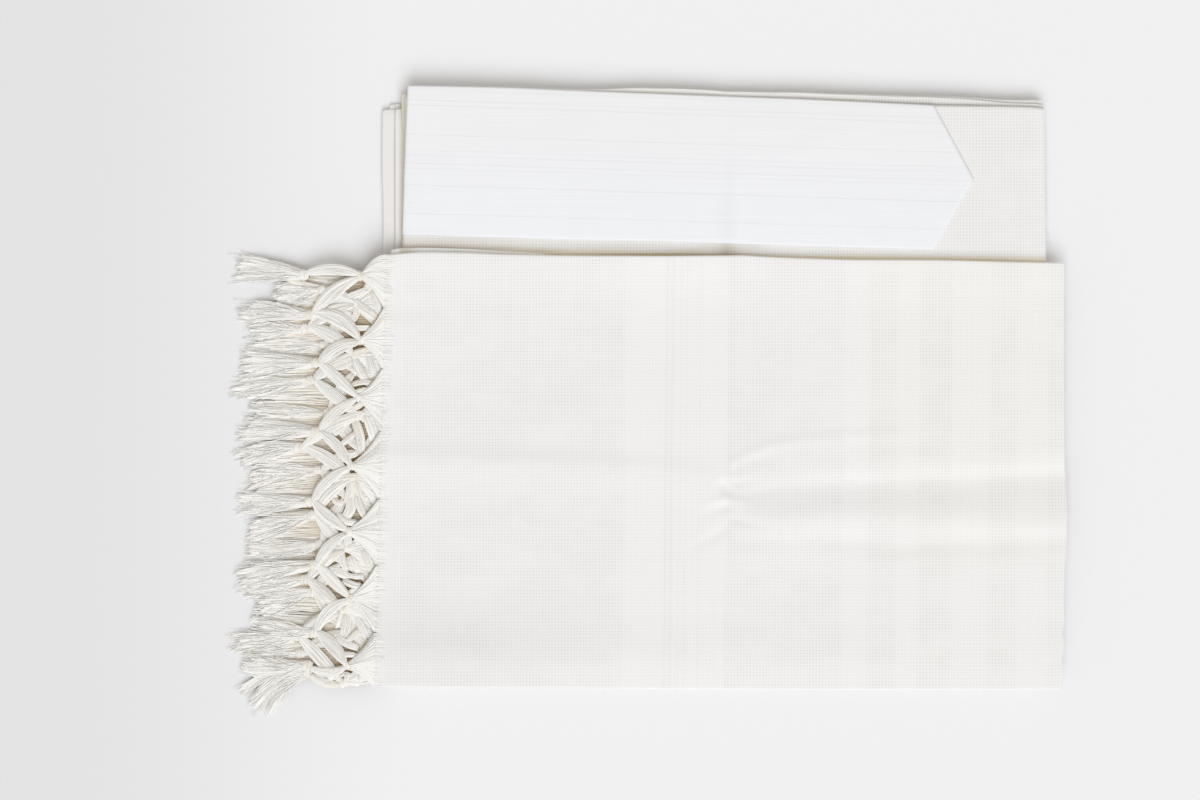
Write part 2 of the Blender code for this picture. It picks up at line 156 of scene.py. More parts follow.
def setUpStudio():
    scene = bpy.context.scene
    x, y = (value * mm for value in studio["middle"])
    view = bpy.data.cameras.new("camera")
    view.lens = studio["lens"]
    view.sensor_width = studio["sensor"]
    scene.camera = link("camera", view, location=(x, y, studio["cameraHeight"]))

    key = bpy.data.lights.new("softbox", "SUN")
    key.angle = math.radians(studio["keySpread"])
    key.energy = studio["keyPower"]
    key.color = studio["keyColour"]
    turn = (math.radians(90 - studio["keyHeight"]), 0, math.radians(studio["keyTurn"]))
    link("softbox", key, rotation_euler=turn)

    world = bpy.data.worlds.new("studio")
    world.use_nodes = True
    sky = world.node_tree.nodes["Background"]
    sky.inputs[0].default_value = (*studio["skyColour"], 1)
    sky.inputs[1].default_value = studio["skyPower"]
    scene.world = world
    scene.view_settings.view_transform = "Standard"

    half = studio["tableSize"] / 2
    sides = ((-1, -1), (1, -1), (1, 1), (-1, 1))
    corners = [(x + a * half, y + b * half, studio["tableTop"]) for a, b in sides]
    mesh = bpy.data.meshes.new("table")
    mesh.from_pydata(corners, [], [(0, 1, 2, 3)])
    table = link("table", mesh)
    material, tree, shader = newMaterial("white board", 0.6)
    coords, place = placeOn(tree)
    waves, dull = studio["tableGrain"]
    grain = noiseOn(tree, coords, (waves, waves, waves), 4.0)
    pale = studio["tableColour"]
    board = mixed(tree, grain, tuple(value * dull for value in pale), pale)
    # painted shade: the board darkens towards the left, where the light falls off
    start, end = studio["paintedShadeFrom"]
    left = ranged(tree, place[0], start, end, studio["paintedShadeLeft"], interpolation_type="SMOOTHSTEP")
    colourIt(tree, shader, board, left)
    mesh.materials.append(material)


setUpStudio()
print("studio ready")

# materials


def threadHoles(tree, coords, place, period, wander):
    # 1 at each small hole between the threads, falling to 0 on the threads, which wander a little
    waves = []
    for axis, stretch in enumerate(((260, 18, 18), (18, 260, 19))):
        drift = timesPlus(tree, noiseOn(tree, coords, stretch), wander * mm, -wander * mm / 2)
        turn = times(tree, calc(tree, "ADD", place[axis], drift), 2 * math.pi / (period * mm))
        waves.append(timesPlus(tree, calc(tree, "COSINE", turn), 0.5, 0.5))
    sharpness = 1.3
    return calc(tree, "POWER", times(tree, *waves), sharpness)


def softPlace(tree, place, x, y, wide, tall):
    # 1 in the middle of a wide oval on the cloth, falling softly to 0 around it
    across = timesPlus(tree, place[0], 1 / (wide * mm), -x / wide)
    along = timesPlus(tree, place[1], 1 / (tall * mm), -y / tall)
    far = timesPlus(tree, across, across, times(tree, along, along))
    return calc(tree, "EXPONENT", times(tree, far, -1.0))


# painted light and shade: the tone paler or duller in each soft oval
def paintLightAndShade(tree, tone, place, litAndShadedSpots):
    for x, y, wide, tall, amount in litAndShadedSpots:
        tone = changedBy(tree, tone, softPlace(tree, place, x, y, wide, tall), amount)
    return tone


def rampOn(tree, value, stops):
    # grey that passes through these stops, (place, grey), and is black at 0
    ramp = node(tree, "ValToRGB", {0: value})
    line = ramp.color_ramp
    line.elements[0].position = 0.0
    line.elements[0].color = (0, 0, 0, 1)
    line.elements.remove(line.elements[1])
    for where, grey in stops:
        line.elements.new(where).color = (grey, grey, grey, 1)
    return ramp.outputs[0]


def stripeRamp(tree, place, span, bands):
    # 1 inside each band and 0 outside: bands is a list of (from, to, soft edge), in mm
    low, high = span
    stops = []
    for start, end, soft in bands:
        for edge, (before, after) in ((start, (0.0, 1.0)), (end, (1.0, 0.0))):
            stops += [(edge - soft / 2, before), (edge + soft / 2, after)]
    stops = [((where - low) / (high - low), grey) for where, grey in stops]
    return rampOn(tree, ranged(tree, place, low * mm, high * mm), stops)


# the gauze and its woven stripes; places are across it in mm
gauze = {
    "colour": (0.901, 0.894, 0.882),
    "stripeColour": (0.910, 0.904, 0.893),
    "paintedFoldShadow": (0.80, 0.70, 0.53),    # painted shadow, yellow-brown, in under the front's fold
    "deepShade": (0.45, 0.37, 0.25),
    "foldLine": (99.8, -0.0155),        # that fold: y at x = 0, and its slope
    "paintedShadowReach": (4.8, 0.6),       # from none to all of it, so far past the fold
    # where the back cloth turns up more tightly under the fold: x, y, half width, half height
    "tightFold": (102, 100, 36, 60),
    "tighterBy": 0.6,
    "overhangShade": (0.70, 0.665, 0.585),    # under the neck band's left end, which hangs over the folds
    "overhang": (-176.5, -173.5),       # it sets in and ends between these x, and lies above these y
    "overhangEnd": (-169, -160),
    "overhangAbove": (90, 100),
    "period": 2.2,
    "wander": 1.1,
    "holeDepth": 0.15,
    "patchWaves": (42, 60, 40),         # the weave is plainer in patches
    "patchRange": (0.32, 0.68, 0.35, 1.25),
    "fringeEdge": (-186.34, 0.02902),   # the fringe's edge: x at y = 0 and its slope
    "closeWeave": (6, 15, 0.2),         # the weave is close beside it and opens up between these
    "lean": 0.011,                      # of the stripes against the cloth's length
    "leanFrom": 86.5,
    "span": (-200, 300),
    "narrowSatin": [(-16.45, 54.95, 0.8)],
    "wideSatin": [(137.5, 154.4, 1.5), (174.6, 190.1, 1.5), (212.4, 239.1, 1.5), (259.3, 280.4, 1.5)],
    "satinHoles": -0.55,                # how much shallower the holes are there
    "darkThreads": [-17.85, 1.75, 12.95, 16.8, 22.4, 26.3],
    "darkThreadsMore": [36.05, 56.7, 60.6],
    "brightThreads": [-172.6, -19.95, 14.4, 19.6, 24.2, 58.4],
    "thread": (0.25, 0.45),             # a thread's half width, and its soft edge
    "darkBy": -0.045,
    "brightBy": 0.02,
    "cream": (1.0, 1.0, 0.980),         # the cloth is creamier towards its right end
    "creamFrom": (135, 185),
    "creamUpFrom": (-130, -40, 0.25),   # and less so low down
    "streaks": 0.035,
    "clouds": 0.03,
    "bump": (0.35, 0.15),               # strength, and depth in mm
    # painted light and shade: wide soft places that are a little paler or duller, for the light on the
    # cloth's broad rises and falls: x, y, half width, half height, how much
    "paintedLightAndShade": [
        (20, 98, 260, 34, 0.036),
        (-150, -176, 95, 36, -0.042),
        (98, -106, 42, 15, 0.045),
        (-205, -202, 60, 9, -0.03),
    ],
}
# painted shade: browner places in the shadow of the fold: x, y, half width, half height, how much
shadedPlaces = [
    (-155, 107.2, 80, 7.5, 0.33),
    (-150, 106.4, 30, 1.7, 0.35),
    (-110, 105.0, 24, 1.7, 0.35),
    (-80, 103.2, 18, 1.7, 0.30),
    (-15, 106.0, 55, 5.0, 0.16),
    (12, 100.6, 50, 1.3, 0.75),
    (28, 103.0, 24, 3.0, 0.22),
    (38, 106.0, 12, 5.0, 0.12),
    (54, 106.0, 8, 5.0, 0.42),
    (70, 107.0, 12, 4.0, 0.18),
]
# painted shade in the crevice beside the left folds, and painted light on the ply edges along the top
foldedLightAndShade = [(-178.5, 150, 0.5, 70, -0.22), (60, 220, 170, 12, 0.12)]


def rangedMm(tree, value, start, end, atStart=0.0, atEnd=1.0):
    return ranged(tree, value, start * mm, end * mm, atStart, atEnd)


def stripedColour(tree, place, cut, satin):
    # satin stripes, and a creamier right end
    base = mixed(tree, satin, cut["colour"], cut["stripeColour"])
    rightward = rangedMm(tree, place[0], *cut["creamFrom"])
    upper = rangedMm(tree, place[1], *cut["creamUpFrom"])
    creamier = mixed(tree, times(tree, rightward, upper), (1, 1, 1), cut["cream"])
    return node(tree, "VectorMath", {0: base, 1: creamier}, operation="MULTIPLY").outputs[0]


def paintFoldShadow(tree, place, cut):
    # painted shadow: yellower in under the front's fold, and browner in places of painted shade
    at, slope = cut["foldLine"]
    past = calc(tree, "SUBTRACT", place[1], timesPlus(tree, place[0], slope, at * mm))
    # the painted shadow reaches less far where the cloth turns up tightly
    past = changedBy(tree, past, softPlace(tree, place, *cut["tightFold"]), cut["tighterBy"])
    base = mixed(tree, rangedMm(tree, past, *cut["paintedShadowReach"]), cut["colour"], cut["paintedFoldShadow"])
    for x, y, wide, tall, amount in shadedPlaces:
        part = times(tree, softPlace(tree, place, x, y, wide, tall), amount)
        base = mixed(tree, part, base, cut["deepShade"])
    return base


def overhungColour(tree, place, cut):
    # duller in the shade of the neck band's left end
    part = rangedMm(tree, place[0], *cut["overhang"])
    part = times(tree, part, rangedMm(tree, place[0], *cut["overhangEnd"], 1.0, 0.0))
    part = times(tree, part, rangedMm(tree, place[1], *cut["overhangAbove"]))
    return mixed(tree, part, cut["colour"], cut["overhangShade"])


def gauzeMaterial(name, cut, colouring=None):
    # a gauze with woven stripes, or with the colouring that another function gives it
    material, tree, shader = newMaterial(name, 0.85, 0.12)
    coords, place = placeOn(tree)
    holes = threadHoles(tree, coords, place, cut["period"], cut["wander"])
    patches = noiseOn(tree, coords, cut["patchWaves"], 3.0)
    depth = times(tree, ranged(tree, patches, *cut["patchRange"]), cut["holeDepth"])
    at, slope = cut["fringeEdge"]
    fromFringe = calc(tree, "SUBTRACT", place[0], timesPlus(tree, place[1], slope, at * mm))
    depth = times(tree, depth, rangedMm(tree, fromFringe, *cut["closeWeave"]))
    if colouring:
        base = colouring(tree, place, cut)
    else:
        lean = timesPlus(tree, place[1], -cut["lean"], cut["lean"] * cut["leanFrom"] * mm)
        across = calc(tree, "ADD", place[0], lean)
        span = cut["span"]
        narrow = stripeRamp(tree, across, span, cut["narrowSatin"])
        satin = calc(tree, "ADD", narrow, stripeRamp(tree, across, span, cut["wideSatin"]))
        half, soft = cut["thread"]
        thin = []
        for key in ("darkThreads", "darkThreadsMore", "brightThreads"):
            threads = [(middle - half, middle + half, soft) for middle in cut[key]]
            thin.append(stripeRamp(tree, across, span, threads))
        depth = changedBy(tree, depth, satin, cut["satinHoles"])
        base = stripedColour(tree, place, cut, satin)
    streakX = noiseOn(tree, coords, (900, 9, 9))
    streakY = noiseOn(tree, coords, (9, 900, 9))
    streaks = calc(tree, "ADD", streakX, streakY)
    clouds = noiseOn(tree, coords, (11, 14, 11), 3.0)
    tone = timesPlus(tree, streaks, cut["streaks"], 1 - cut["streaks"])
    tone = mottled(tree, tone, clouds, cut["clouds"])
    tone = times(tree, tone, calc(tree, "SUBTRACT", 1.0, times(tree, holes, depth)))
    tone = paintLightAndShade(tree, tone, place, cut["paintedLightAndShade"])
    if not colouring:
        tone = changedBy(tree, tone, calc(tree, "ADD", thin[0], thin[1]), cut["darkBy"])
        tone = changedBy(tree, tone, thin[2], cut["brightBy"])
    colourIt(tree, shader, base, tone)
    bumpIt(tree, shader, timesPlus(tree, streaks, 0.6, times(tree, holes, -1.0)), *cut["bump"])
    return material


# the neck band is a closer cloth with fine woven lines along it, placed as parts of its width
ribbon = {
    "colour": (0.908, 0.911, 0.922),
    "lowColour": (0.924, 0.936, 0.962),
    "lowFrom": (0.1, 0.95),           # it turns to that colour between these parts of its width
    "topLine": (211.55, -0.0361),     # its two long edges: y at x = 30 mm, and the slope
    "bottomLine": (109.5, -0.0285),
    "lineFrom": 30,
    "darkLines": [(0.02, 0.5), (0.09, 0.9), (0.125, 1.0), (0.325, 0.8), (0.43, 0.6), (0.465, 0.8)],
    "moreLines": [(0.52, 0.9), (0.553, 0.7), (0.668, 1.0), (0.86, 0.8)],
    "lineWidth": 0.006,
    "darkBy": -0.06,
    "period": 1.3,
    "wander": 0.8,
    "holeDepth": -0.14,
    "streaks": (0.08, 0.03),          # along it and across it
    "bump": (0.3, 0.1),
    # painted shade: duller at the press crease, low on the band, and at the band's lower left end
    "paintedLightAndShade": [(54, 122, 6, 30, -0.035), (-168, 113, 30, 4, -0.05)],
}


def ribbonMaterial(name, cut):
    material, tree, shader = newMaterial(name, 0.7, 0.15)
    coords, place = placeOn(tree)
    edges = []
    for key in ("topLine", "bottomLine"):
        at, slope = cut[key]
        edges.append(timesPlus(tree, place[0], slope, (at - slope * cut["lineFrom"]) * mm))
    width = calc(tree, "SUBTRACT", edges[0], edges[1])
    down = calc(tree, "DIVIDE", calc(tree, "SUBTRACT", edges[0], place[1]), width)
    half = cut["lineWidth"] / 2
    tone = 1.0
    for key in ("darkLines", "moreLines"):
        stops = []
        for at, depth in cut[key]:
            stops += [(at - 2 * half, 0), (at - half / 2, depth), (at + half / 2, depth), (at + 2 * half, 0)]
        tone = changedBy(tree, tone, rampOn(tree, down, stops), cut["darkBy"])
    holes = threadHoles(tree, coords, place, cut["period"], cut["wander"])
    patches = noiseOn(tree, coords, (30, 70, 30), 3.0)
    streakX = noiseOn(tree, coords, (700, 12, 9))
    streakY = noiseOn(tree, coords, (7, 1100, 9))
    for noise, depth in zip((streakY, streakX), cut["streaks"]):
        tone = mottled(tree, tone, noise, depth)
    tone = changedBy(tree, tone, times(tree, holes, patches), cut["holeDepth"])
    tone = paintLightAndShade(tree, tone, place, cut["paintedLightAndShade"])
    base = mixed(tree, ranged(tree, down, *cut["lowFrom"]), cut["colour"], cut["lowColour"])
    colourIt(tree, shader, base, tone)
    bumpIt(tree, shader, streakY, *cut["bump"])
    return material


# fringe yarn: from white to a brownish cream, yarn by yarn, and browner as painted shade where it lies deep
yarnLook = {
    "white": (0.99, 0.984, 0.950),
    "brown": (0.66, 0.475, 0.215),
    "mottle": (0.05, 0.9625),          # how deep it is, and how pale the yarn is without it
    "bump": (0.3, 0.1),
}


def yarnMaterial(name, look):
    material, tree, shader = newMaterial(name, 0.8, 0.2)
    coords, _ = placeOn(tree)
    brownnessAndShade = node(tree, "Attribute", attribute_name="brownnessAndShade").outputs["Fac"]
    base = mixed(tree, brownnessAndShade, look["white"], look["brown"])
    tone = timesPlus(tree, noiseOn(tree, coords, (300, 900, 900)), *look["mottle"])
    colourIt(tree, shader, base, tone)
    bumpIt(tree, shader, noiseOn(tree, coords, (1500, 2200, 2200)), *look["bump"])
    return material


stripedGauze = gauzeMaterial("striped gauze", gauze)
plainCut = {**gauze, "colour": (0.898, 0.891, 0.876), "paintedLightAndShade": []}
# the hidden layers' gauze is duller and warmer than the back cloth's: painted shade
foldedCut = {**gauze, "colour": (0.865, 0.857, 0.828), "paintedLightAndShade": foldedLightAndShade}
plainGauze = gauzeMaterial("plain gauze", plainCut, paintFoldShadow)
foldedGauze = gauzeMaterial("folded gauze", foldedCut, overhungColour)
bandCloth = ribbonMaterial("band cloth", ribbon)
print("cloth and yarn materials ready")

# making cloth

noiseWaves = 9
fullTurn = 6.28         # near enough, for chance phases
softRounds = 60         # how often a listed line's corners are softened
lineSteps = 801
rollTurns = (18, 36, 54, 72, 90, 110, 132, 156, 180)      # steps of a folded side's roll, degrees
thinnestFold = 0.75     # between a sheet and what is turned under it, mm
underWaves = (70, 5)    # how long the waves of the turned-under cloth are, and their seed


def softNoise(x, y, size, seed):
    # long waves in chance directions, about -1 to 1; size is their usual length
    chance = random.Random(seed)
    total = 0.0
    for _ in range(noiseWaves):
        turn = chance.uniform(0, math.pi)
        wave = 2 * math.pi / (size * chance.uniform(0.6, 1.7))
        total = total + np.sin(wave * (x * math.cos(turn) + y * math.sin(turn)) + chance.uniform(0, fullTurn))
    return total / (noiseWaves / 2)


def alongLine(points, parts, rounds=softRounds):
    # places at these parts of a listed line in mm, its corners a little softened
    line = np.array(points, float)
    steps = np.hypot(*np.diff(line, axis=0).T)
    reach = np.concatenate([[0], np.cumsum(steps)]) / steps.sum()
    fine = np.linspace(0, 1, lineSteps)
    track = np.stack([np.interp(fine, reach, line[:, k]) for k in (0, 1)], 1)
    for _ in range(rounds):
        track[1:-1] = (track[:-2] + 2 * track[1:-1] + track[2:]) / 4
    return np.stack([np.interp(parts, fine, track[:, k]) for k in (0, 1)], 1)


def gridLines(count, finerAt=0.5, finerWidth=0.1, finerBy=0.0):
    # parts from 0 to 1, closer together around one place
    fine = np.linspace(0, 1, 2001)
    density = 1 + finerBy * np.exp(-(((fine - finerAt) / finerWidth) ** 2))
    total = np.concatenate([[0], np.cumsum((density[1:] + density[:-1]) / 2)])
    return np.interp(np.linspace(0, total[-1], count), total, fine)


def planGrid(plan, columns, rows):
    # a grid over a plan with four listed edges, in mm
    top = alongLine(plan["top"], columns)
    bottom = alongLine(plan["bottom"], columns)
    rounds = plan.get("rounds", softRounds)
    left = alongLine([plan["top"][0], *plan["left"], plan["bottom"][0]], rows, rounds)
    right = alongLine([plan["top"][-1], *plan["right"], plan["bottom"][-1]], rows, rounds)
    s = columns[:, None, None]
    t = rows[None, :, None]
    grid = (1 - t) * top[:, None] + t * bottom[:, None] + (1 - s) * left[None] + s * right[None]
    grid -= (1 - s) * ((1 - t) * top[0] + t * bottom[0]) + s * ((1 - t) * top[-1] + t * bottom[-1])
    return grid


def rimPath(columns, rows, sides):
    # grid places along these sides, clockwise from above, and where two sides meet
    n, m = columns - 1, rows - 1
    runs = {
        "top": [(i, 0) for i in range(n + 1)],
        "right": [(n, j) for j in range(m + 1)],
        "bottom": [(i, m) for i in range(n, -1, -1)],
        "left": [(0, j) for j in range(m, -1, -1)],
    }
    path, corners = [], []
    for side in sides:
        if path:
            corners.append(len(path) - 1)
            path += runs[side][1:]
        else:
            path += runs[side]
    return path, corners


def outwards(line, closed=False):
    # the direction out of a clockwise line at each of its points
    if closed:
        ahead = np.roll(line, -1, axis=0) - np.roll(line, 1, axis=0)
    else:
        ahead = np.gradient(line, axis=0)
    ahead /= np.maximum(np.linalg.norm(ahead, axis=1, keepdims=True), 1e-9)
    return np.stack([-ahead[:, 1], ahead[:, 0]], 1)


def roundCorner(line, corner, radius):
    # pulls the points near a square corner of a line onto an arc; the line may be a closed one
    count = len(line)
    spot = line[corner].copy()
    before = line[(corner - 3) % count] - spot
    after = line[(corner + 3) % count] - spot
    before /= np.linalg.norm(before)
    after /= np.linalg.norm(after)
    centre = spot + (before + after) * radius
    for k in range(count):
        far = np.linalg.norm(line[k] - spot)
        if far < radius:
            turn = math.radians(45) * (1 - far / radius)
            past = (k - corner) % count < count / 2
            ahead, aside = (after, before) if past else (before, after)
            line[k] = centre - radius * (aside * math.cos(turn) + ahead * math.sin(turn))


def facesBetween(ring, new, closed=False):
    pairs = list(zip(ring, new))
    ends = pairs[1:] + (pairs[:1] if closed else [])
    return [(a, c, d, b) for (a, b), (c, d) in zip(pairs, ends)]


def meshPiece(name, points, faces, material):
    mesh = bpy.data.meshes.new(name)
    mesh.from_pydata([tuple(p) for p in points], [], faces)
    mesh.shade_smooth()
    mesh.materials.append(material)
    return link(name, mesh)


def foldedSheet(name, cut, material):
    # a sheet laid on its plan, whose folded sides roll over and come back under it
    columns, rows = cut["columns"], cut["rows"]
    grid = planGrid(cut["plan"], columns, rows)
    n, m = len(columns), len(rows)
    path, corners = rimPath(n, m, cut["folds"])
    rim = np.array([grid[i, j] for i, j in path])
    for corner in corners:
        roundCorner(rim, corner, cut["cornerRadius"])
    out = outwards(rim)
    inset = cut["foldReach"]
    for (i, j), place in zip(path, rim - out * inset):
        grid[i, j] = place
    relief = cut["relief"]
    flat = grid.reshape(-1, 2)
    points = [np.column_stack([flat, cut["top"] + relief(flat[:, 0], flat[:, 1])])]
    starts = [i * m + j for i in range(n - 1) for j in range(m - 1)]
    faces = [(a, a + 1, a + m + 1, a + m) for a in starts]
    ring = [i * m + j for i, j in path]
    count = n * m
    steps = [(math.radians(a), 0.0) for a in rollTurns]
    steps += [(math.pi, back) for back in cut["tail"]]
    for turn, back in steps:
        place = rim - out * (inset * (1 - math.sin(turn)) + back)
        high = cut["top"] + relief(place[:, 0], place[:, 1])
        under = cut["under"] + cut["underWave"] * softNoise(place[:, 0], place[:, 1], *underWaves)
        under = np.minimum(under, high - thinnestFold)
        height = high - (high - under) * (1 - math.cos(turn)) / 2
        points.append(np.column_stack([place, height]))
        new = list(range(count, count + len(ring)))
        faces += facesBetween(ring, new)
        ring = new
        count += len(ring)
    piece = meshPiece(name, np.concatenate(points) * mm, faces, material)
    wall = piece.modifiers.new("cloth wall", "SOLIDIFY")
    wall.thickness = cut["wall"] * mm
    wall.offset = -1
    return piece


def foldedLayer(name, cut, material):
    # one hidden layer, doubled over: a thin slab with soft rolled edges that wander in and out
    count = cut["grid"]
    columns = rows = np.linspace(0, 1, count)
    grid = planGrid(cut["plan"], columns, rows)
    path, corners = rimPath(count, count, ("top", "right", "bottom", "left"))
    rim = np.array([grid[i, j] for i, j in path[:-1]])
    for corner in [0, *corners]:
        roundCorner(rim, corner, cut["cornerRadius"])
    out = outwards(rim, closed=True)
    amount, size = cut["wander"]
    rim = rim + out * (amount * softNoise(rim[:, 0], rim[:, 1], size, cut["seed"]))[:, None]
    low, high = cut["heights"]
    amount, size = cut["wave"]
    lift = amount * softNoise(rim[:, 0], rim[:, 1], size, cut["seed"] + 1)
    far = np.maximum(out[:, 1], 0) ** 2
    lift += cut["farLift"] * far
    # the far edge is creased harder than the others, so its rim hardly rolls
    roll = (high - low) / 2 * (1 - cut["farCrease"] * far[:, None])
    middle = rim.mean(axis=0)
    half = np.abs(rim - middle).max(axis=0)
    least = low if low == 0 else low - cut["sag"]
    points, faces, ring = [], [], None
    for angle, back in cut["steps"]:
        turn = math.radians(angle)
        place = rim - out * roll * (1 - math.sin(turn)) - (rim - middle) / half * back
        height = np.full(len(rim), low + (high - low) * (1 + math.cos(turn)) / 2)
        if back == 0:
            height += lift
        points.append(np.column_stack([place, np.maximum(height, least)]))
        new = list(range(len(rim) * (len(points) - 1), len(rim) * len(points)))
        if ring:
            faces += facesBetween(ring, new, closed=True)
        ring = new
    faces.append(tuple(reversed(range(len(rim)))))
    faces.append(tuple(ring))
    return meshPiece(name, np.concatenate(points) * mm, faces, material)


def dress(piece, solid):
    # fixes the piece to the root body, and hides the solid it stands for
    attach(piece, "root")
    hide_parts(solid)


# relief placed one by one


def rollHeight(x, y, line, heights, upper, lower):
    # a soft ridge or trough along a line, in mm; it may be steeper on its upper (+Y) or lower side
    path = np.array(line, float)
    best = np.full(np.shape(x), 1e9)
    side = np.zeros(np.shape(x))
    height = np.zeros(np.shape(x))
    for k in range(len(path) - 1):
        along = path[k + 1] - path[k]
        length = np.hypot(*along)
        part = np.clip(((x - path[k, 0]) * along[0] + (y - path[k, 1]) * along[1]) / length**2, 0, 1)
        offX = x - path[k, 0] - along[0] * part
        offY = y - path[k, 1] - along[1] * part
        far = np.hypot(offX, offY)
        nearer = far < best
        best = np.where(nearer, far, best)
        cross = (along[0] * offY - along[1] * offX) / length
        side = np.where(nearer, cross / np.maximum(far, 1e-6), side)
        height = np.where(nearer, heights[k] + (heights[k + 1] - heights[k]) * part, height)
    width = lower + (upper - lower) * (0.5 + 0.5 * side)
    return height * np.exp(-((best / width) ** 2))


def waveHeight(x, y, height, cut):
    # adds a cloth's long soft waves and its rolls to a height
    for amount, size, seed in cut["waves"]:
        height = height + amount * softNoise(x, y, size, seed)
    for roll in cut["rolls"].values():
        height = height + rollHeight(x, y, *roll)
    return height


def edgeFall(inwards, reach, depth):
    # how far the cloth has come down, this far in from a folded side
    return depth * np.clip(1 - inwards / reach, 0, 1.3) ** 2


# each roll: the line it lies along, its heights there, and how far it reaches towards +Y and -Y
frontRolls = {
    "neck-side fold": ([(-184, 99), (55, 98), (290, 94)], [0.9, 1.2, 1.2], 8, 21),
    "fringe-side swell": ([(-188, 49), (-152, 49)], [0.9, 0.7], 9, 21),
    "long rise": ([(-147, -12), (-35, -12)], [0.4, 0.4], 24, 22),
    "fringe-side ridge": ([(-190, -42), (-90, -45), (0, -50), (45, -56)], [1.3, 1.3, 1.0, 0.5], 9, 15),
    "thin ridge": ([(60, -45), (84, -33), (126, -27), (210, -22)], [0.5, 0.6, 0.45, 0.1], 4, 5),
    "short ridge": ([(160, -41), (210, -40)], [0.25, 0.2], 5, 6),
    "upper valley": (
        [(61, -69), (77, -65), (133, -61), (210, -58), (291, -54)], [-0.9, -1.5, -1.7, -2.0, -2.1], 8, 13
    ),
    "swell between valleys": (
        [(70, -80), (133, -82), (210, -84), (291, -88)], [0.5, 1.1, 1.1, 1.0], 12, 9
    ),
    "lower valley": ([(62, -99), (140, -100), (175, -103), (288, -99)], [-0.4, -0.8, -0.8, -0.8], 7, 7),
    "hem-side roll": (
        [(-190, -182), (-110, -182), (105, -184), (214, -184), (286, -185)], [2.2, 1.9, 1.2, 0.6, 0.5], 22, 16
    ),
    "hem-side hollow": ([(-190, -140), (-120, -138)], [-0.7, -0.3], 20, 20),
    "pinched spot": ([(52, -61), (55, -64)], [-1.3, -1.0], 4, 4),
    "pinch streak, lower left": ([(36, -82.5), (54, -75)], [-0.15, -0.7], 3, 3),
    "pinch streak, bottom": ([(26, -105), (41, -99), (53, -91)], [-0.1, -0.5, -0.7], 4, 4),
    "pinch streak, right": ([(60, -59), (78, -57)], [-0.7, -0.2], 3, 3),
    "pinch streak, lower right": ([(60, -85), (78, -89)], [-0.6, -0.15], 3, 3),
    "pinch curl": ([(58, -51), (65, -44.5), (84, -40)], [-0.4, -0.5, -0.3], 3, 4),
    "pinch ridge, left": ([(38, -74), (52, -70)], [0.2, 0.6], 3, 3),
    "pinch ridge, middle": ([(57, -72), (74, -73)], [0.7, 0.2], 4, 4),
    "pinch ridge, top": ([(50, -40), (56, -53)], [0.1, 0.5], 4, 4),
    "press crease": ([(57, 101), (54, -50)], [-0.22, -0.22], 1.6, 1.6),
    "press crease below": ([(53, -96), (50, -203)], [-0.18, -0.18], 1.6, 1.6),
    "soft hollow": ([(74, 92), (76, 50)], [-0.5, -0.2], 9, 9),
}


def frontRelief(x, y):
    height = waveHeight(x, y, frontPanel["lift"], frontPanel)
    # it sinks a little towards its free corner, and the right fold rolls down softly before it turns
    depth, startX, overX, startY, overY = frontPanel["sunkCorner"]
    across = np.clip((x - startX) / overX, 0, 1.1) ** 1.5
    height = height - depth * across * np.clip((y - startY) / overY, 0, 1)
    edge, reach, depth = frontPanel["rightFall"]
    return height - edgeFall(edge - x, reach, depth)


frontPanel = {
    "plan": {
        "top": [
            (-183.5, 100.2), (-179, 101.0), (-174.6, 101.5), (-165, 102.3), (-153, 102.6), (-125, 102.0),
            (-104, 101.0), (-62.7, 100.1), (7.4, 99.8), (54, 100.1), (66.9, 100.3), (79, 99.4),
            (98.4, 98.5), (140.4, 97.2), (203.4, 97.0), (245.4, 95.9), (290.6, 94.9),
        ],
        "right": [
            (290.4, 69), (290.2, 0), (290.5, -43), (291.9, -64), (292.3, -82), (291.9, -103),
            (290.5, -120), (289.8, -141), (290.5, -151.5), (289.1, -163.5), (290.2, -172.5),
            (288.8, -183), (290, -191.5),
        ],
        "bottom": [
            (-192.1, -201.4), (-139.7, -202.3), (-34.6, -203), (105.4, -203.7), (245.4, -203.7),
            (288.4, -203.4),
        ],
        "left": [(-186.4, 20), (-191.3, -169)],
    },
    "folds": ("top", "right", "bottom"),
    "cornerRadius": 1.5,
    "columns": gridLines(226, 0.52, 0.09, 1.0),
    "rows": gridLines(142, 0.55, 0.16, 0.8),
    "top": 14.9,
    "under": 13.1,
    "underWave": 0.06,
    "foldReach": 1.0,
    "tail": (4, 12),
    "wall": 0.6,
    "relief": frontRelief,
    "rolls": frontRolls,
    "lift": 0.6,
    "waves": [(0.16, 62, 3), (0.035, 17, 4)],       # how high, how long, and their seed
    "sunkCorner": (2.6, 235, 56, -10, 105),         # how deep, and where it starts and how fast it sinks
    "rightFall": (291, 9, 1.6),                     # the edge's x, how far in it starts, and how deep
}

frontCloth = foldedSheet("frontCloth", frontPanel, stripedGauze)
dress(frontCloth, "front_panel")
print("front cloth folded")

# back cloth and neck band

backRolls = {
    "press crease": ([(56, 216), (53, 95)], [-0.25, -0.25], 1.8, 1.8),
    "press swell": ([(62, 214), (60, 95)], [0.25, 0.3], 6, 6),
    "faint press line": ([(248, 205), (250, 100)], [0.18, 0.18], 1.6, 1.6),
    "band's lower slope": ([(-170, 122), (195, 113)], [0.15, 0.15], 16, 8),
}


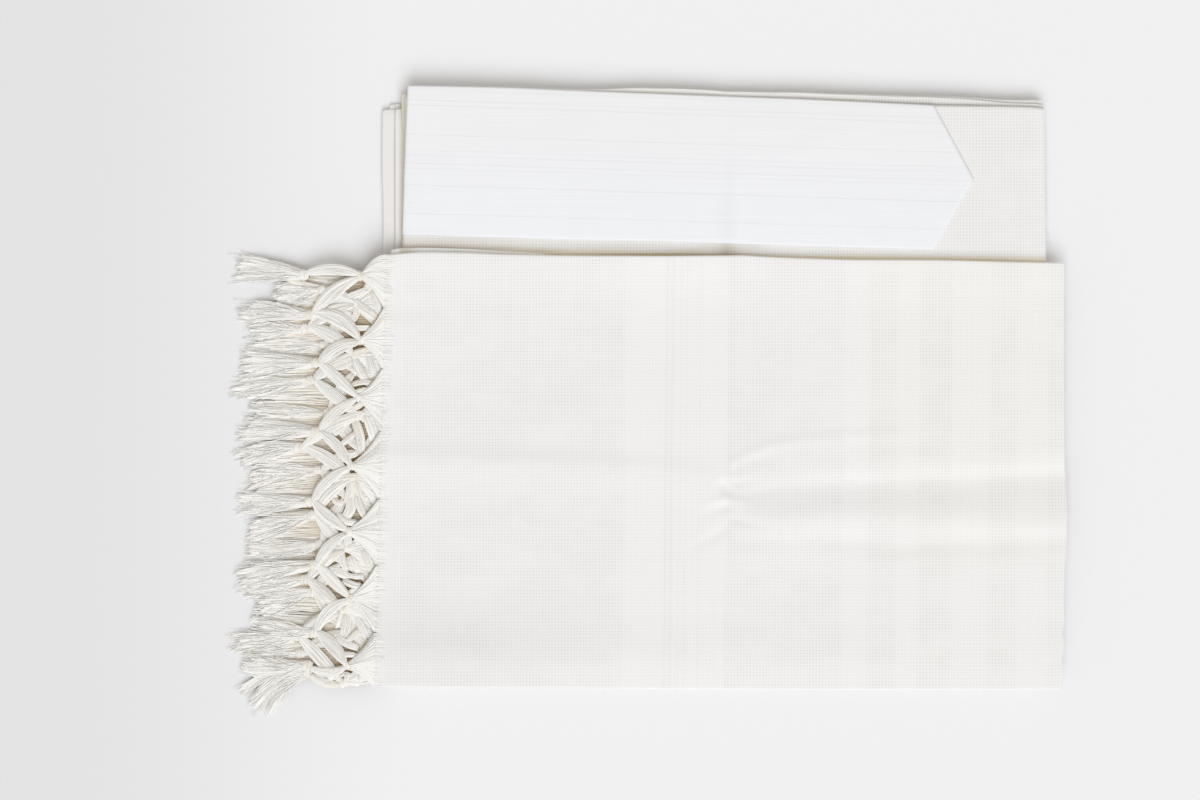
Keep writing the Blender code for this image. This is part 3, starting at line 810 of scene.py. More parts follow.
def backRelief(x, y):
    height = waveHeight(x, y, 0.0, backPanel)
    swell, atX, atY, wide, tall = backPanel["farSwell"]
    height = height + swell * np.exp(-(((x - atX) / wide) ** 2) - ((y - atY) / tall) ** 2)
    # it is pulled up where the front folds over it, but for a small dent at the press crease
    at, slope = gauze["foldLine"]
    past = y - (at + slope * x)
    dentAt, dentWide, dentDepth = backPanel["dent"]
    dent = np.exp(-(((x - dentAt) / dentWide) ** 2))
    tightAt, _, tightWide, _ = gauze["tightFold"]
    reach, tighter = backPanel["pullReach"]
    reach = reach - tighter * np.exp(-(((x - tightAt) / tightWide) ** 2))
    pull = backPanel["pulledUp"] * np.clip(1 - past / reach, 0, 1) ** 1.3
    height = height + pull * (1 - backPanel["dentSlack"] * dent)
    height = height - dentDepth * dent * np.exp(-(((past - 3) / 5) ** 2))
    leftEdge, leftReach, leftDepth = backPanel["leftFall"]
    height = height - edgeFall(x - leftEdge, leftReach, leftDepth)
    edge, reach, depth = backPanel["rightFall"]
    return height - edgeFall(edge - x, reach, depth)


backPanel = {
    "plan": {
        "top": [
            (-168.9, 219.0), (-128.4, 218.2), (-93.4, 217.3), (-58.4, 215.7), (7.4, 213.1), (53.6, 211.3),
            (100.4, 209.7), (199.8, 205.3), (252.3, 204.7), (268, 204.2), (276.4, 203.4),
        ],
        "right": [(276.6, 180), (277.4, 100.4), (278.0, -50)],
        "bottom": [(-181.5, -198.2), (40, -198.5), (278.2, -198.5)],
        "left": [(-171.6, 156), (-172.6, 104), (-177, 0)],
    },
    "folds": ("right", "bottom", "left"),
    "cornerRadius": 4.0,
    "columns": gridLines(170),
    "rows": gridLines(150, 0.1, 0.2, 0.8),
    "top": 11.0,
    "under": 8.5,
    "underWave": 0.05,
    "foldReach": 1.2,
    "tail": (4, 12),
    "wall": 0.6,
    "relief": backRelief,
    "rolls": backRolls,
    "waves": [(0.14, 75, 11), (0.03, 19, 12)],
    "farSwell": (0.5, -165, 222, 90, 34),     # how high, x, y, half width, half height
    "pulledUp": 2.0,
    "pullReach": (5.5, 2.4),          # and how much less it reaches where the cloth is tight
    "dent": (55.5, 7, 1.2),
    "dentSlack": 1.2,                 # how much of the pull is lost there
    "leftFall": (-172, 4, 0.7),
    "rightFall": (277.6, 7, 1.8),
}

backCloth = foldedSheet("backCloth", backPanel, plainGauze)
dress(backCloth, "back_panel")


def bandRelief(x, y):
    # the band lies on the back cloth, and is a little lower at the seam along its top edge
    at, slope = ribbon["topLine"]
    inside = at + slope * (x - ribbon["lineFrom"]) - y
    seamDepth, seamWidth = bandCut["seam"]
    return backRelief(x, y) - seamDepth * np.exp(-((np.maximum(0, inside) / seamWidth) ** 2))


bandCut = {
    "plan": {
        "top": [
            (-169.3, 219.2), (-128.4, 218.5), (-93.4, 217.6), (-58.4, 216.0), (7.4, 213.4), (53.6, 211.6),
            (100.4, 210.0), (146.7, 207.9), (189.4, 205.9), (199.2, 205.4),
        ],
        "right": [(227.2, 153.65)],
        "bottom": [
            (-173.0, 114.8), (-134, 113.75), (-80, 112.0), (-32, 111.0), (14, 110.0), (49, 108.9),
            (73, 107.9), (110, 107.1), (199.2, 104.2),
        ],
        "left": [(-171.8, 156)],
        "rounds": 8,
    },
    "folds": ("left",),
    "cornerRadius": 1.0,
    "columns": gridLines(160),
    "rows": gridLines(80),
    "top": 11.7,
    "under": 8.1,
    "underWave": 0.0,
    "foldReach": 1.2,
    "tail": (4,),
    "wall": 0.55,
    "relief": bandRelief,
    "seam": (0.12, 1.2),
}

neckBand = foldedSheet("neckBand", bandCut, bandCloth)
dress(neckBand, "atarah")
print("back cloth and neck band folded")

# hidden layers, from the uppermost down; their edges peep out past the ones above

backLayers = [
    {
        "top": [
            (-171.5, 212), (-120, 213.5), (-80, 213.5), (-50, 216.0), (-6.7, 217.2), (20, 217.0),
            (45.9, 215.8), (54, 214.6), (62, 214.7), (104, 214.1), (146.7, 212.7), (189.4, 211.5),
            (220.2, 210.0), (245.4, 207.6), (276.0, 206.0),
        ],
        "bottom": [(-182, -198.6), (277.5, -199)],
        "left": [(-171.5, 156), (-173.2, 104)],
        "right": [(277.5, 180), (277.9, 100)],
        "heights": (6.7, 8.3),
        "farLift": 1.6,
    },
    {
        "top": [
            (-174.2, 213.4), (-150, 215.4), (-125, 217.4), (-93.5, 217.9), (-50, 216.4), (-6.7, 217.6),
            (20, 217.4), (45.9, 216.2), (54, 214.9), (62, 215.0), (104, 214.4), (146.7, 213),
            (189.4, 212), (220.2, 211.2), (245.4, 209.2), (275.5, 208.8),
        ],
        "bottom": [(-184, -199), (277, -199.4)],
        "left": [(-173.6, 196), (-172.2, 180), (-173.2, 104)],
        "right": [(277.6, 180), (278.3, 100)],
        "heights": (5.05, 6.65),
        "farLift": 1.6,
    },
    {
        "top": [(-178.2, 203.0), (-60, 205), (245, 204.5), (274.5, 204.5)],
        "bottom": [(-186, -199.4), (276.5, -199)],
        "left": [(-178.6, 156), (-178.2, 104)],
        "right": [(276.6, 180), (277, 100)],
        "heights": (3.4, 5.0),
    },
    {
        "top": [(-187.6, 203.0), (-60, 203.5), (245, 203), (273.5, 203)],
        "bottom": [(-196, -198), (276, -198.4)],
        "left": [(-187.3, 156), (-186.6, 104)],
        "right": [(275, 180), (275.6, 100)],
        "heights": (1.75, 3.35),
    },
    {
        "top": [(-182.4, 206.6), (-60, 206), (245, 200), (272, 200)],
        "bottom": [(-194, -197.4), (275, -197.6)],
        "left": [(-184.2, 156), (-185.4, 104)],
        "right": [(273.6, 180), (274.4, 100)],
        "heights": (0.0, 1.7),
    },
]

frontLayers = [
    {
        "top": [
            (-181, 104.6), (-170.5, 105.6), (-153.7, 105.3), (-125, 104.5), (-100, 103.2), (-80, 101.9),
            (-65, 100.6), (-40, 99.0), (60, 98.4), (284, 93.7),
        ],
        "bottom": [(-192.0, -201.2), (284, -202.0)],
        "left": [(-187, 0)],
        "right": [(284, 0)],
        "heights": (12.3, 13.05),
    },
    {
        "top": [(-182, 99.5), (60, 97.4), (282.6, 92.8)],
        "bottom": [(-191.0, -199.8), (282.4, -200.6)],
        "left": [(-187.6, 0)],
        "right": [(282.4, 0)],
        "heights": (11.5, 12.25),
    },
]

layerLook = {
    "grid": 90,
    "cornerRadius": 1.6,
    "wander": (0.28, 55),      # how far the edges wander in and out, and over what length
    "wave": (0.18, 90),        # and up and down
    "farLift": 0.0,            # how far the edge furthest from the fold stands up
    "farCrease": 0.65,         # and how much harder it is creased than the others
    "sag": 0.25,               # the waves may take an edge so far below its own height
    # the slab's section, from its top over the edge to its underside: the edge's turn, and how far in
    "steps": [(0, 16), (0, 5), *((a, 0) for a in (0, 25, 50, 75, 100, 125, 155, 180)), (180, 5), (180, 16)],
}
for packet, layers, seed in (("back", backLayers, 40), ("front", frontLayers, 41)):
    for number, row in enumerate(layers):
        cut = {**layerLook, **row, "plan": row, "seed": seed + 7 * number}
        layer = foldedLayer(f"{packet}Layer{number + 1}", cut, foldedGauze)
        if row["heights"][0] == 0:
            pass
        elif number + 1 < len(layers):
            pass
        else:
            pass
        dress(layer, f"{packet}_layers")
print("hidden layers stacked")

# knotted fringe

fringe = {
    "edgeTop": (-183.4, 101.2),            # the cloth's fringed edge
    "edgeBottom": (-192.2, -202.0),
    "stripTop": 100.8,
    "stripBottom": -201.8,
    "heightPlaces": (0, 9, 21, 59, 101),   # so far out from that edge the nets have their heights, mm
    "yarnSides": 3,
    "yarnRadius": 0.36,
    "yarnTones": (0.0, 0.0, 0.0, 0.03, 0.10, 0.22),    # how much browner some yarns of a lock are
    "fadeTo": 0.3,                         # how much of a lock's brownness and painted shade is left at its far end
    "firstKnot": (6.0, 6.6, 3.6),          # length, width and thickness
    "secondKnot": (7.0, 7.2, 3.8),
}

# each net, and its tassels: the knot, the middle of the tips, how wide it ends, how far it bends and slants
nets = [
    {
        "name": "netTop",
        "solid": "fringe_first",
        "seed": 5,
        "crossings": slice(0, 0),
        "heights": (14.7, 13.6, 11.4, 7.2, 1.0),
        "knots": [
            (-202.7, 85.8), (-202.5, 40.8), (-204.4, 0.7), (-208.7, -47.3), (-211.1, -93.2),
            (-209.7, -139.9), (-212.2, -187.0),
        ],
        "tone": (0.0, 0.05),
        "tassels": [
            ((-242.1, 86.7), (-291.0, 91.6), 20, 0.5, 0),
            ((-238.0, 58.7), (-286.0, 60.9), 15, 0.5, 0),
            ((-233.6, 25.0), (-284.0, 24.0), 20, 0, 0),
            ((-233.6, -23.2), (-286.0, -23.5), 15, 1, 0),
            ((-237.7, -72.2), (-286.0, -74.6), 15, 0.5, 0),
            ((-235.2, -116.6), (-286.7, -124.5), 16, 1.5, 0),
            ((-235.2, -164.0), (-275.0, -160.5), 12, -1, 0),
            ((-239.3, -187.0), (-282.5, -185.9), 12, -2, 0),
        ],
        "bows": [2.8, 3.5, 5.2, 3.5, 0, 2.8, 2, 4.2, -1.4, 3, 0, 4.8, 2, -3.5],
        "widths": [8.5, 9.5, 11.5, 10, 9, 8.2, 8, 8, 9, 7.8, 8.5, 8, 10, 7],
    },
    {
        "name": "netMiddle",
        "solid": "fringe_second",
        "seed": 6,
        "crossings": slice(0, None, 2),
        "heights": (12.9, 12.2, 10.2, 6.0, 0.8),
        "knots": [
            (-205.8, 66.5), (-207.0, 30.2), (-203.9, -12.1), (-208.7, -55.9), (-212.8, -104.9),
            (-215.7, -148.6), (-215.2, -199.0),
        ],
        # browner than the net above it: painted shade
        "tone": (0.0, 0.09),
        "tassels": [
            ((-229.3, 76.0), (-260.0, 74.6), 17, 0, 0),
            ((-241.4, 49.4), (-280.4, 47.5), 13, 0.5, 0),
            ((-237.7, 13.0), (-290.0, 6.4), 14, 1, 0),
            ((-245.4, -34.0), (-288.8, -40.3), 14, 1.5, 0),
            ((-236.0, -81.6), (-279.0, -94.2), 16, 1.5, 0),
            ((-241.4, -126.6), (-289.5, -133.4), 13, 1, 0),
            ((-247.6, -167.0), (-293.0, -172.6), 13, 1, 0),
            ((-239.3, -192.2), (-279.5, -213.5), 20, 7, 10),
        ],
        "bows": [0, 3.5, 3, 2.5, 0, 3, 2, 4, 0, 3, 0, 3, 0, -2],
        "widths": [8, 10, 10, 9, 9, 9, 9.5, 8, 9, 9, 9.5, 9, 10, 6],
    },
    {
        "name": "netLow",
        "solid": "fringe_third",
        "seed": 7,
        "crossings": slice(1, None, 2),
        "heights": (11.4, 10.8, 9.0, 4.9, 0.6),
        "knots": [
            (-206.7, 63.8), (-206.5, 18.8), (-203.4, -36.3), (-212.7, -69.3), (-215.1, -115.2),
            (-213.7, -161.9),
        ],
        # browner still, as the lowest net: painted shade
        "tone": (0.035, 0.19),
        "tassels": [
            ((-231.0, 70.0), (-262.0, 69.5), 11, 0, 0),
            ((-227.9, 37.5), (-279.7, 36.1), 14, -0.5, 0),
            ((-225.1, -10.2), (-279.7, -9.5), 12, 0, 0),
            ((-232.1, -50.1), (-279.7, -58.5), 18, 3, 0),
            ((-230.7, -101.9), (-280.4, -106.1), 16, -1, 0),
            ((-236.3, -135.5), (-274.1, -149.5), 20, 4, 0),
            ((-244.7, -178.6), (-279.7, -180.7), 12, 0, 0),
        ],
        "bows": [0, 2, 0, 2, 0, 2, 0, 2, 0, 2, 0, 2],
        "widths": [9, 10, 9, 9, 10, 9, 9, 10, 9, 9, 10, 9],
    },
]

# bundles of the folded-under nets that cross the gaps between two fans: from, by way of, to, and width
crossings = [
    (-194.7, 76.9, -207.0, 72.2, -221.0, 66.4, 5.0), (-194.7, 75.1, -191.2, 68.1, -189.2, 60.0, 4.7),
    (-209.0, 69.3, -199.4, 62.9, -189.8, 55.9, 6.1), (-205.8, 65.2, -205.5, 58.8, -211.0, 52.1, 4.4),
    (-216.3, 61.1, -211.6, 60.3, -208.7, 55.9, 2.9), (-210.5, 50.6, -203.5, 49.5, -197.0, 49.8, 3.5),
    (-199.4, 44.2, -196.5, 47.1, -192.1, 51.8, 2.6), (-195.9, 34.3, -207.0, 31.1, -224.5, 24.7, 5.0),
    (-206.4, 28.5, -204.0, 21.5, -198.5, 12.7, 5.8), (-207.5, 27.9, -214.5, 23.8, -222.1, 22.6, 6.4),
    (-195.9, 30.8, -194.7, 23.8, -191.8, 16.2, 5.2), (-209.0, 9.2, -201.7, 11.5, -193.5, 10.9, 3.8),
    (-207.0, 4.2, -201.1, 5.9, -195.9, 6.5, 2.9), (-198.8, -1.9, -205.8, -6.3, -211.9, -9.5, 4.1),
    (-198.5, -10.4, -212.8, -13.3, -228.5, -20.3, 4.7),
    (-206.4, -15.6, -202.9, -25.0, -201.1, -36.6, 6.4),
    (-209.9, -15.0, -217.5, -21.5, -222.1, -25.0, 5.0),
    (-206.4, -24.4, -211.6, -29.0, -217.5, -33.4, 3.8),
    (-215.1, -39.0, -209.9, -39.8, -204.6, -38.4, 4.1),
    (-203.5, -43.0, -200.3, -41.3, -197.0, -37.8, 3.2),
    (-199.4, -11.5, -195.9, -19.7, -193.5, -29.0, 5.2),
    (-202.3, -54.1, -212.2, -55.0, -222.1, -57.0, 4.4),
    (-214.0, -55.9, -220.7, -62.3, -219.5, -69.3, 3.5),
    (-209.3, -57.0, -208.7, -64.6, -211.3, -72.8, 6.7),
    (-205.8, -57.0, -204.0, -63.5, -202.3, -70.5, 4.1),
    (-222.1, -68.7, -218.3, -72.8, -214.5, -71.3, 4.1),
    (-210.5, -65.8, -208.7, -75.1, -213.4, -83.9, 7.0),
    (-204.0, -67.5, -202.9, -75.1, -198.8, -83.3, 4.7),
    (-218.3, -81.0, -212.8, -85.6, -205.8, -86.8, 4.7),
    (-212.2, -81.5, -212.8, -86.8, -215.1, -90.9, 3.5),
    (-210.8, -93.5, -211.3, -98.5, -210.2, -102.8, 5.5),
    (-202.9, -102.0, -212.8, -104.3, -222.7, -106.0, 5.0),
    (-220.4, -108.4, -224.5, -113.0, -228.5, -117.7, 3.5),
    (-215.1, -108.4, -214.5, -114.2, -211.9, -120.0, 4.4),
    (-208.7, -110.7, -206.4, -116.0, -204.0, -121.8, 3.5),
    (-225.0, -120.6, -218.0, -121.5, -210.5, -125.0, 5.8),
    (-212.2, -122.8, -206.2, -124.6, -200.5, -124.2, 3.5),
    (-214.0, -127.6, -209.0, -129.9, -202.8, -131.2, 4.4),
    (-211.8, -136.6, -207.6, -134.4, -203.4, -130.2, 3.2),
    (-200.5, -104.9, -197.6, -112.5, -194.7, -120.0, 5.2),
    (-205.5, -143.7, -211.0, -142.8, -215.1, -144.5, 2.9),
    (-216.0, -148.0, -216.6, -153.3, -218.6, -159.1, 3.5),
    (-212.5, -149.2, -211.3, -158.5, -214.5, -169.6, 8.8),
    (-202.9, -161.5, -207.5, -166.1, -212.2, -170.8, 3.5),
    (-218.6, -166.7, -212.8, -170.8, -204.6, -174.3, 5.2),
    (-218.3, -181.6, -212.8, -179.3, -204.6, -180.1, 3.5),
    (-205.8, -151.5, -201.7, -158.5, -197.6, -166.7, 5.2),
    (-206.4, -188.9, -201.7, -193.4, -204.6, -199.0, 3.8),
    (-218.3, -189.5, -222.9, -194.3, -221.3, -198.5, 4.4),
    (-218.0, -195.6, -212.5, -192.7, -207.0, -195.9, 2.6),
    (-222.7, -199.0, -213.4, -198.7, -204.0, -200.4, 2.9),
    (-212.5, -191.5, -211.9, -195.0, -212.8, -198.6, 3.2),
]


def edgeAt(y):
    (topX, topY), (bottomX, bottomY) = fringe["edgeTop"], fringe["edgeBottom"]
    return topX + (bottomX - topX) * (topY - y) / (topY - bottomY)


def netHeight(net, x, y):
    return np.interp(edgeAt(y) - x, fringe["heightPlaces"], net["heights"])


def axesAlong(path):
    # at each point of a path, the directions across it and up from it
    ahead = np.gradient(path, axis=0)
    ahead /= np.maximum(np.linalg.norm(ahead, axis=1, keepdims=True), 1e-9)
    across = np.cross(ahead, (0, 0, 1.0))
    across /= np.maximum(np.linalg.norm(across, axis=1, keepdims=True), 1e-6)
    return across, np.cross(across, ahead)


def spinYarn(skein, path, radius, tone, sides=fringe["yarnSides"], flatness=1.0, roundUntil=1.0):
    # adds one yarn, a thin tube along the path, to a skein; tone is how brown it is, 0 to 1, and past
    # roundUntil it lies flat, like the untwisted end of a yarn
    path = np.asarray(path, float)
    count = len(path)
    across, up = axesAlong(path)
    up = up * np.broadcast_to(flatness, (count,))[:, None]
    radius = np.broadcast_to(np.asarray(radius, float), (count,))[:, None]
    rings = []
    for corner in range(sides):
        turn = 2 * math.pi * (corner + 0.25) / sides
        rings.append(path + radius * (across * math.cos(turn) + up * math.sin(turn)))
    first = skein["count"]
    skein["points"].append(np.stack(rings, 1).reshape(-1, 3))
    skein["tones"].append(np.full(count * sides, tone))
    skein["count"] += count * sides
    for k in range(count - 1):
        skein["round"] += [k < roundUntil * (count - 1)] * sides
        a = first + k * sides
        for c in range(sides):
            d = (c + 1) % sides
            skein["faces"].append((a + c, a + d, a + sides + d, a + sides + c))
    skein["round"] += [False, False]
    last = skein["count"] - sides
    skein["faces"].append(tuple(range(first + sides - 1, first - 1, -1)))
    skein["faces"].append(tuple(range(last, last + sides)))


def bow(start, middle, end, parts):
    # a soft curve through three places
    start, middle, end = (np.asarray(p, float) for p in (start, middle, end))
    pull = 2 * middle - (start + end) / 2
    t = np.asarray(parts)[:, None]
    return (1 - t) ** 2 * start + 2 * t * (1 - t) * pull + t**2 * end


def aboveTable(path, radius):
    path[:, 2] = np.maximum(path[:, 2], radius + 0.05)
    return path


def swayed(chance, parts, slowest, quickest):
    # a slow wave of chance length and phase along a yarn
    return np.sin(chance.uniform(0, fullTurn) + parts * chance.uniform(slowest, quickest))


bundleShape = {
    "coreWidth": 0.46,         # the soft core against the whole bundle
    "coreThick": 0.33,
    "coreEnds": 0.85,          # how much a loose end's core narrows
    "over": 0.66,              # of the yarns lie over the core, the others under it
    "reach": 0.48,             # how far out the yarns lie, and how far up
    "rise": (0.40, 0.52),
    "crown": (2.4, 0.42),      # how full its section is
    "swing": 0.07,             # of a yarn from side to side
    "shorter": (1.04, 0.36),   # a loose yarn's longest, and how much shorter some are
    "thickness": (0.8, 1.15),
    "heldFlat": 0.33,          # of the yarns held at both ends, which lie flat all along
    "roundUntil": (0.38, 1.05),    # how far along the loose ones keep their twist
}


def addBundle(skein, chance, line, widths, thicks, yarns, radius, fray=0.0):
    # a flat lock of yarns: a soft core with yarns laid side by side over and under it
    cut = bundleShape
    line = np.asarray(line, float)
    across, up = axesAlong(line)
    count = len(line)
    parts = np.linspace(0, 1, count)
    lockTone = chance.uniform(*skein["toneRange"])
    fade = np.repeat(np.linspace(1, skein["fadeTo"], count), fringe["yarnSides"])
    core = widths * cut["coreWidth"] * (1 - (cut["coreEnds"] * parts**6 if fray > 0 else 0))
    spinYarn(skein, line, core, lockTone * skein["fadeTo"], 10, thicks * cut["coreThick"] / core)
    over = round(yarns * cut["over"])
    for k in range(yarns):
        top = k < over
        place = (k + 0.5) / over if top else (k - over + 0.5) / (yarns - over)
        aside = 2 * place - 1 + chance.uniform(-0.6, 0.6) / over
        swing = cut["swing"] * np.sin(parts * chance.uniform(2, 6) + chance.uniform(0, 6))
        side = np.clip(aside + swing * np.sin(math.pi * parts), -1, 1)
        square, full = cut["crown"]
        rise = (1 - np.abs(side) ** square) ** full * (1 if top else -1)
        side = side * (1 + fray * parts**3 * chance.uniform(0.0, 1.0))
        outward = across * (side * widths * cut["reach"])[:, None]
        upward = up * (rise * thicks * chance.uniform(*cut["rise"]))[:, None]
        path = line + outward + upward
        tone = min(1.0, lockTone + chance.choice(fringe["yarnTones"]))
        if fray > 0:
            longest, shorter = cut["shorter"]
            path = path[0] + (path - path[0]) * (longest - shorter * chance.random() ** 1.4)
            curl = np.sin(parts * chance.uniform(5, 15) + chance.uniform(0, fullTurn))
            curl = curl * parts * chance.uniform(0.1, 1.0) * fray
            curl += chance.uniform(-1, 1) * fray * 2.2 * parts**1.5
            path += across * curl[:, None]
            spun = chance.uniform(*cut["roundUntil"])
        else:
            spun = float(chance.random() > cut["heldFlat"])
        thickness = chance.uniform(*cut["thickness"])
        spinYarn(skein, aboveTable(path, 0.3), radius * thickness, tone * fade, roundUntil=spun)


fan = {
    "yarns": 66,
    "points": 8,             # along each yarn
    "flat": 0.55,            # of the yarns, which lie flat all along
    "thickness": (0.9, 1.3),
    "jitter": 0.2,
    "rootReach": (1.5, 7.5),     # how far in on the cloth they start
    "rootLift": 0.08,
    "knotSpread": 5.4,       # how wide they lie over the knot
    "shoulder": 5.0,         # the net's first fan bows up at its corner
    "web": 14,               # finer yarns, so far below, that close the fan
    "webSink": 0.3,
}


def fanYarn(chance, net, number, knot, part, sink, jitter=0.0):
    top, bottom = net["notches"][number], net["notches"][number + 1]
    y = top + (bottom - top) * (0.004 + 0.992 * part) + chance.uniform(-jitter, jitter)
    high = net["rootHeight"](y)
    root = np.array([edgeAt(y) + chance.uniform(*fan["rootReach"]), y, high + fan["rootLift"] - sink])
    edge = np.array([edgeAt(y) + 0.4, y, high + fan["rootLift"] - sink])
    lip = np.array([edgeAt(y) - 1.2, y, high - sink])
    crown = 0.6 * math.cos((part - 0.5) * 2.6) - sink + chance.uniform(-jitter, jitter)
    end = knot + np.array([1.6, (0.5 - part) * fan["knotSpread"], crown])
    shoulder = fan["shoulder"] * (1 - part) ** 2 if number == 0 else 0.0
    bulge = np.array([-0.6 + 2.2 * abs(part - 0.5), (0.5 - part) * -3.5 + shoulder, 0.9])
    parts = np.linspace(0, 1, fan["points"])
    return np.vstack([root, edge, bow(lip, (lip + end) / 2 + bulge, end, parts)])


def addFan(skein, chance, net, number, knot):
    # warp yarns that leave the cloth's edge and run together into a knot, over a thin web of finer ones
    low, high = skein["toneRange"]
    for k in range(fan["yarns"]):
        line = fanYarn(chance, net, number, knot, (k + 0.5) / fan["yarns"], 0.0, fan["jitter"])
        tone = low + (high - low) * chance.random() ** 2
        swell = np.concatenate([[0.25, 0.75], np.ones(len(line) - 2)])
        spun = float(chance.random() > fan["flat"])
        radius = fringe["yarnRadius"] * chance.uniform(*fan["thickness"]) * swell
        spinYarn(skein, line, radius, tone, roundUntil=spun)
    webParts = np.linspace(0.01, 0.99, fan["web"])
    web = [fanYarn(chance, net, number, knot, part, fan["webSink"]) for part in webParts]
    for one, other in zip(web, web[1:]):
        middle = ((one + other) / 2)[1:]
        half = np.linalg.norm(one - other, axis=1)[1:] * 0.56 + 0.15
        spinYarn(skein, middle, half, low, 4, 0.45 / half)


knotShape = {
    "swell": (0.55, 0.8, 0.92, 0.95, 0.92, 0.8, 0.55),    # its width from end to end
    "sizes": (0.85, 1.08),
    "windings": 8,
    "windingRadius": (0.36, 0.5),
    "windingTones": (0, 0.3),
    "windingPoints": 15,
}


def addKnot(skein, chance, place, size, lean=0.0):
    # yarns wound over the bundle, as an overhand knot shows from outside
    cut = knotShape
    long, wide, thick = (value * chance.uniform(*cut["sizes"]) for value in size)
    swell = np.array(cut["swell"])
    places = place + np.outer(np.linspace(0.5, -0.5, len(swell)) * long, (1, lean * 0.3, 0))
    spinYarn(skein, places, wide / 2 * swell, 0.0, 10, thick / wide)
    half = (cut["windings"] - 1) / 2
    turns = np.linspace(0, 2 * math.pi, cut["windingPoints"])
    for k in range(cut["windings"]):
        along = (k - half) / half * long * 0.38 + chance.uniform(-0.2, 0.2)
        slant = chance.uniform(-0.35, 0.35) + lean
        full = 1.02 - 0.34 * abs((k - half) / half) ** 2
        ring = np.column_stack([
            along + slant * np.cos(turns) * wide * 0.22 + 0.2 * np.sin(turns),
            np.cos(turns) * wide / 2 * full,
            np.sin(turns) * thick / 2 * full,
        ])
        radius = chance.uniform(*cut["windingRadius"])
        spinYarn(skein, aboveTable(place + ring, 0.5), radius, chance.uniform(*cut["windingTones"]), 4)


arm = {
    "yarns": 34,
    "points": 13,
    "endWidth": 2.8,       # at the knots
    "endThick": 3.2,
    "thick": 2.2,          # in the middle
    "lift": (0.2, 1.0),    # how far the middle stands above its net
}


def addArm(skein, chance, net, knot, head, side, bend, full):
    # a flat, leaf-shaped bundle that leaves one knot and bows out to the next
    start = knot + np.array([-0.8, side * 1.2, 0])
    end = head + np.array([1.6, side * 1.2, 0])
    along = end - start
    off = np.array([along[1], -along[0], 0]) / np.hypot(along[0], along[1]) * bend
    middle = (start + end) / 2 + off
    middle[2] = netHeight(net, middle[0], middle[1]) + chance.uniform(*arm["lift"])
    parts = np.linspace(0, 1, arm["points"])
    belly = np.sin(math.pi * parts) ** 0.8
    widths = arm["endWidth"] + (full - arm["endWidth"]) * belly
    thicks = arm["endThick"] - (arm["endThick"] - arm["thick"]) * belly
    line = bow(start, middle, end, parts)
    addBundle(skein, chance, line, widths, thicks, arm["yarns"], fringe["yarnRadius"])


crossingShape = {
    "points": 9,
    "past": 0.15,          # how far each end runs on, out of sight
    "lastRow": -188,       # but not below this place
    "lift": (0.5, 1.3),
    "dip": 3.4,
    "thick": 1.8,
    "yarns": (12, 2.0),    # and so many more for each mm of its width
}


def addCrossing(skein, chance, net, row):
    # a short bundle of a folded-under net, seen between two fans; its ends go down out of sight
    cut = crossingShape
    start, middle, end, width = row[0:2], row[2:4], row[4:6], row[6]
    parts = np.linspace(0, 1, cut["points"])
    past = cut["past"] if middle[1] > cut["lastRow"] else 0.0
    line = bow(start, middle, end, (1 + 2 * past) * parts - past)
    z = netHeight(net, line[:, 0], middle[1]) + chance.uniform(*cut["lift"])
    z = z - cut["dip"] * np.abs(2 * parts - 1) ** 4
    widths = 1.1 * width * (0.65 + 0.35 * np.sin(math.pi * parts))
    line = aboveTable(np.column_stack([line, z]), 1.0)
    fewest, more = cut["yarns"]
    thicks = np.full(cut["points"], cut["thick"])
    addBundle(skein, chance, line, widths, thicks, round(fewest + more * width), fringe["yarnRadius"])


tassel = {
    "points": 11,
    "lockEvery": 2.6,          # mm of its width
    "lockYarns": 19,
    "fray": 0.6,
    "tipReach": (-5, 8),
    "lockWidth": (1.9, 2.8),
    "headWidth": 2.8,
    "headThick": (2.0, 1.5),   # at the knot, and how much thinner at the tips
    "taper": (1.1, 0.45),
    "strays": 12,              # single yarns that wander over the others
    "strayReach": (-6, 14),
    "strayTaper": (1.2, 0.5),
}


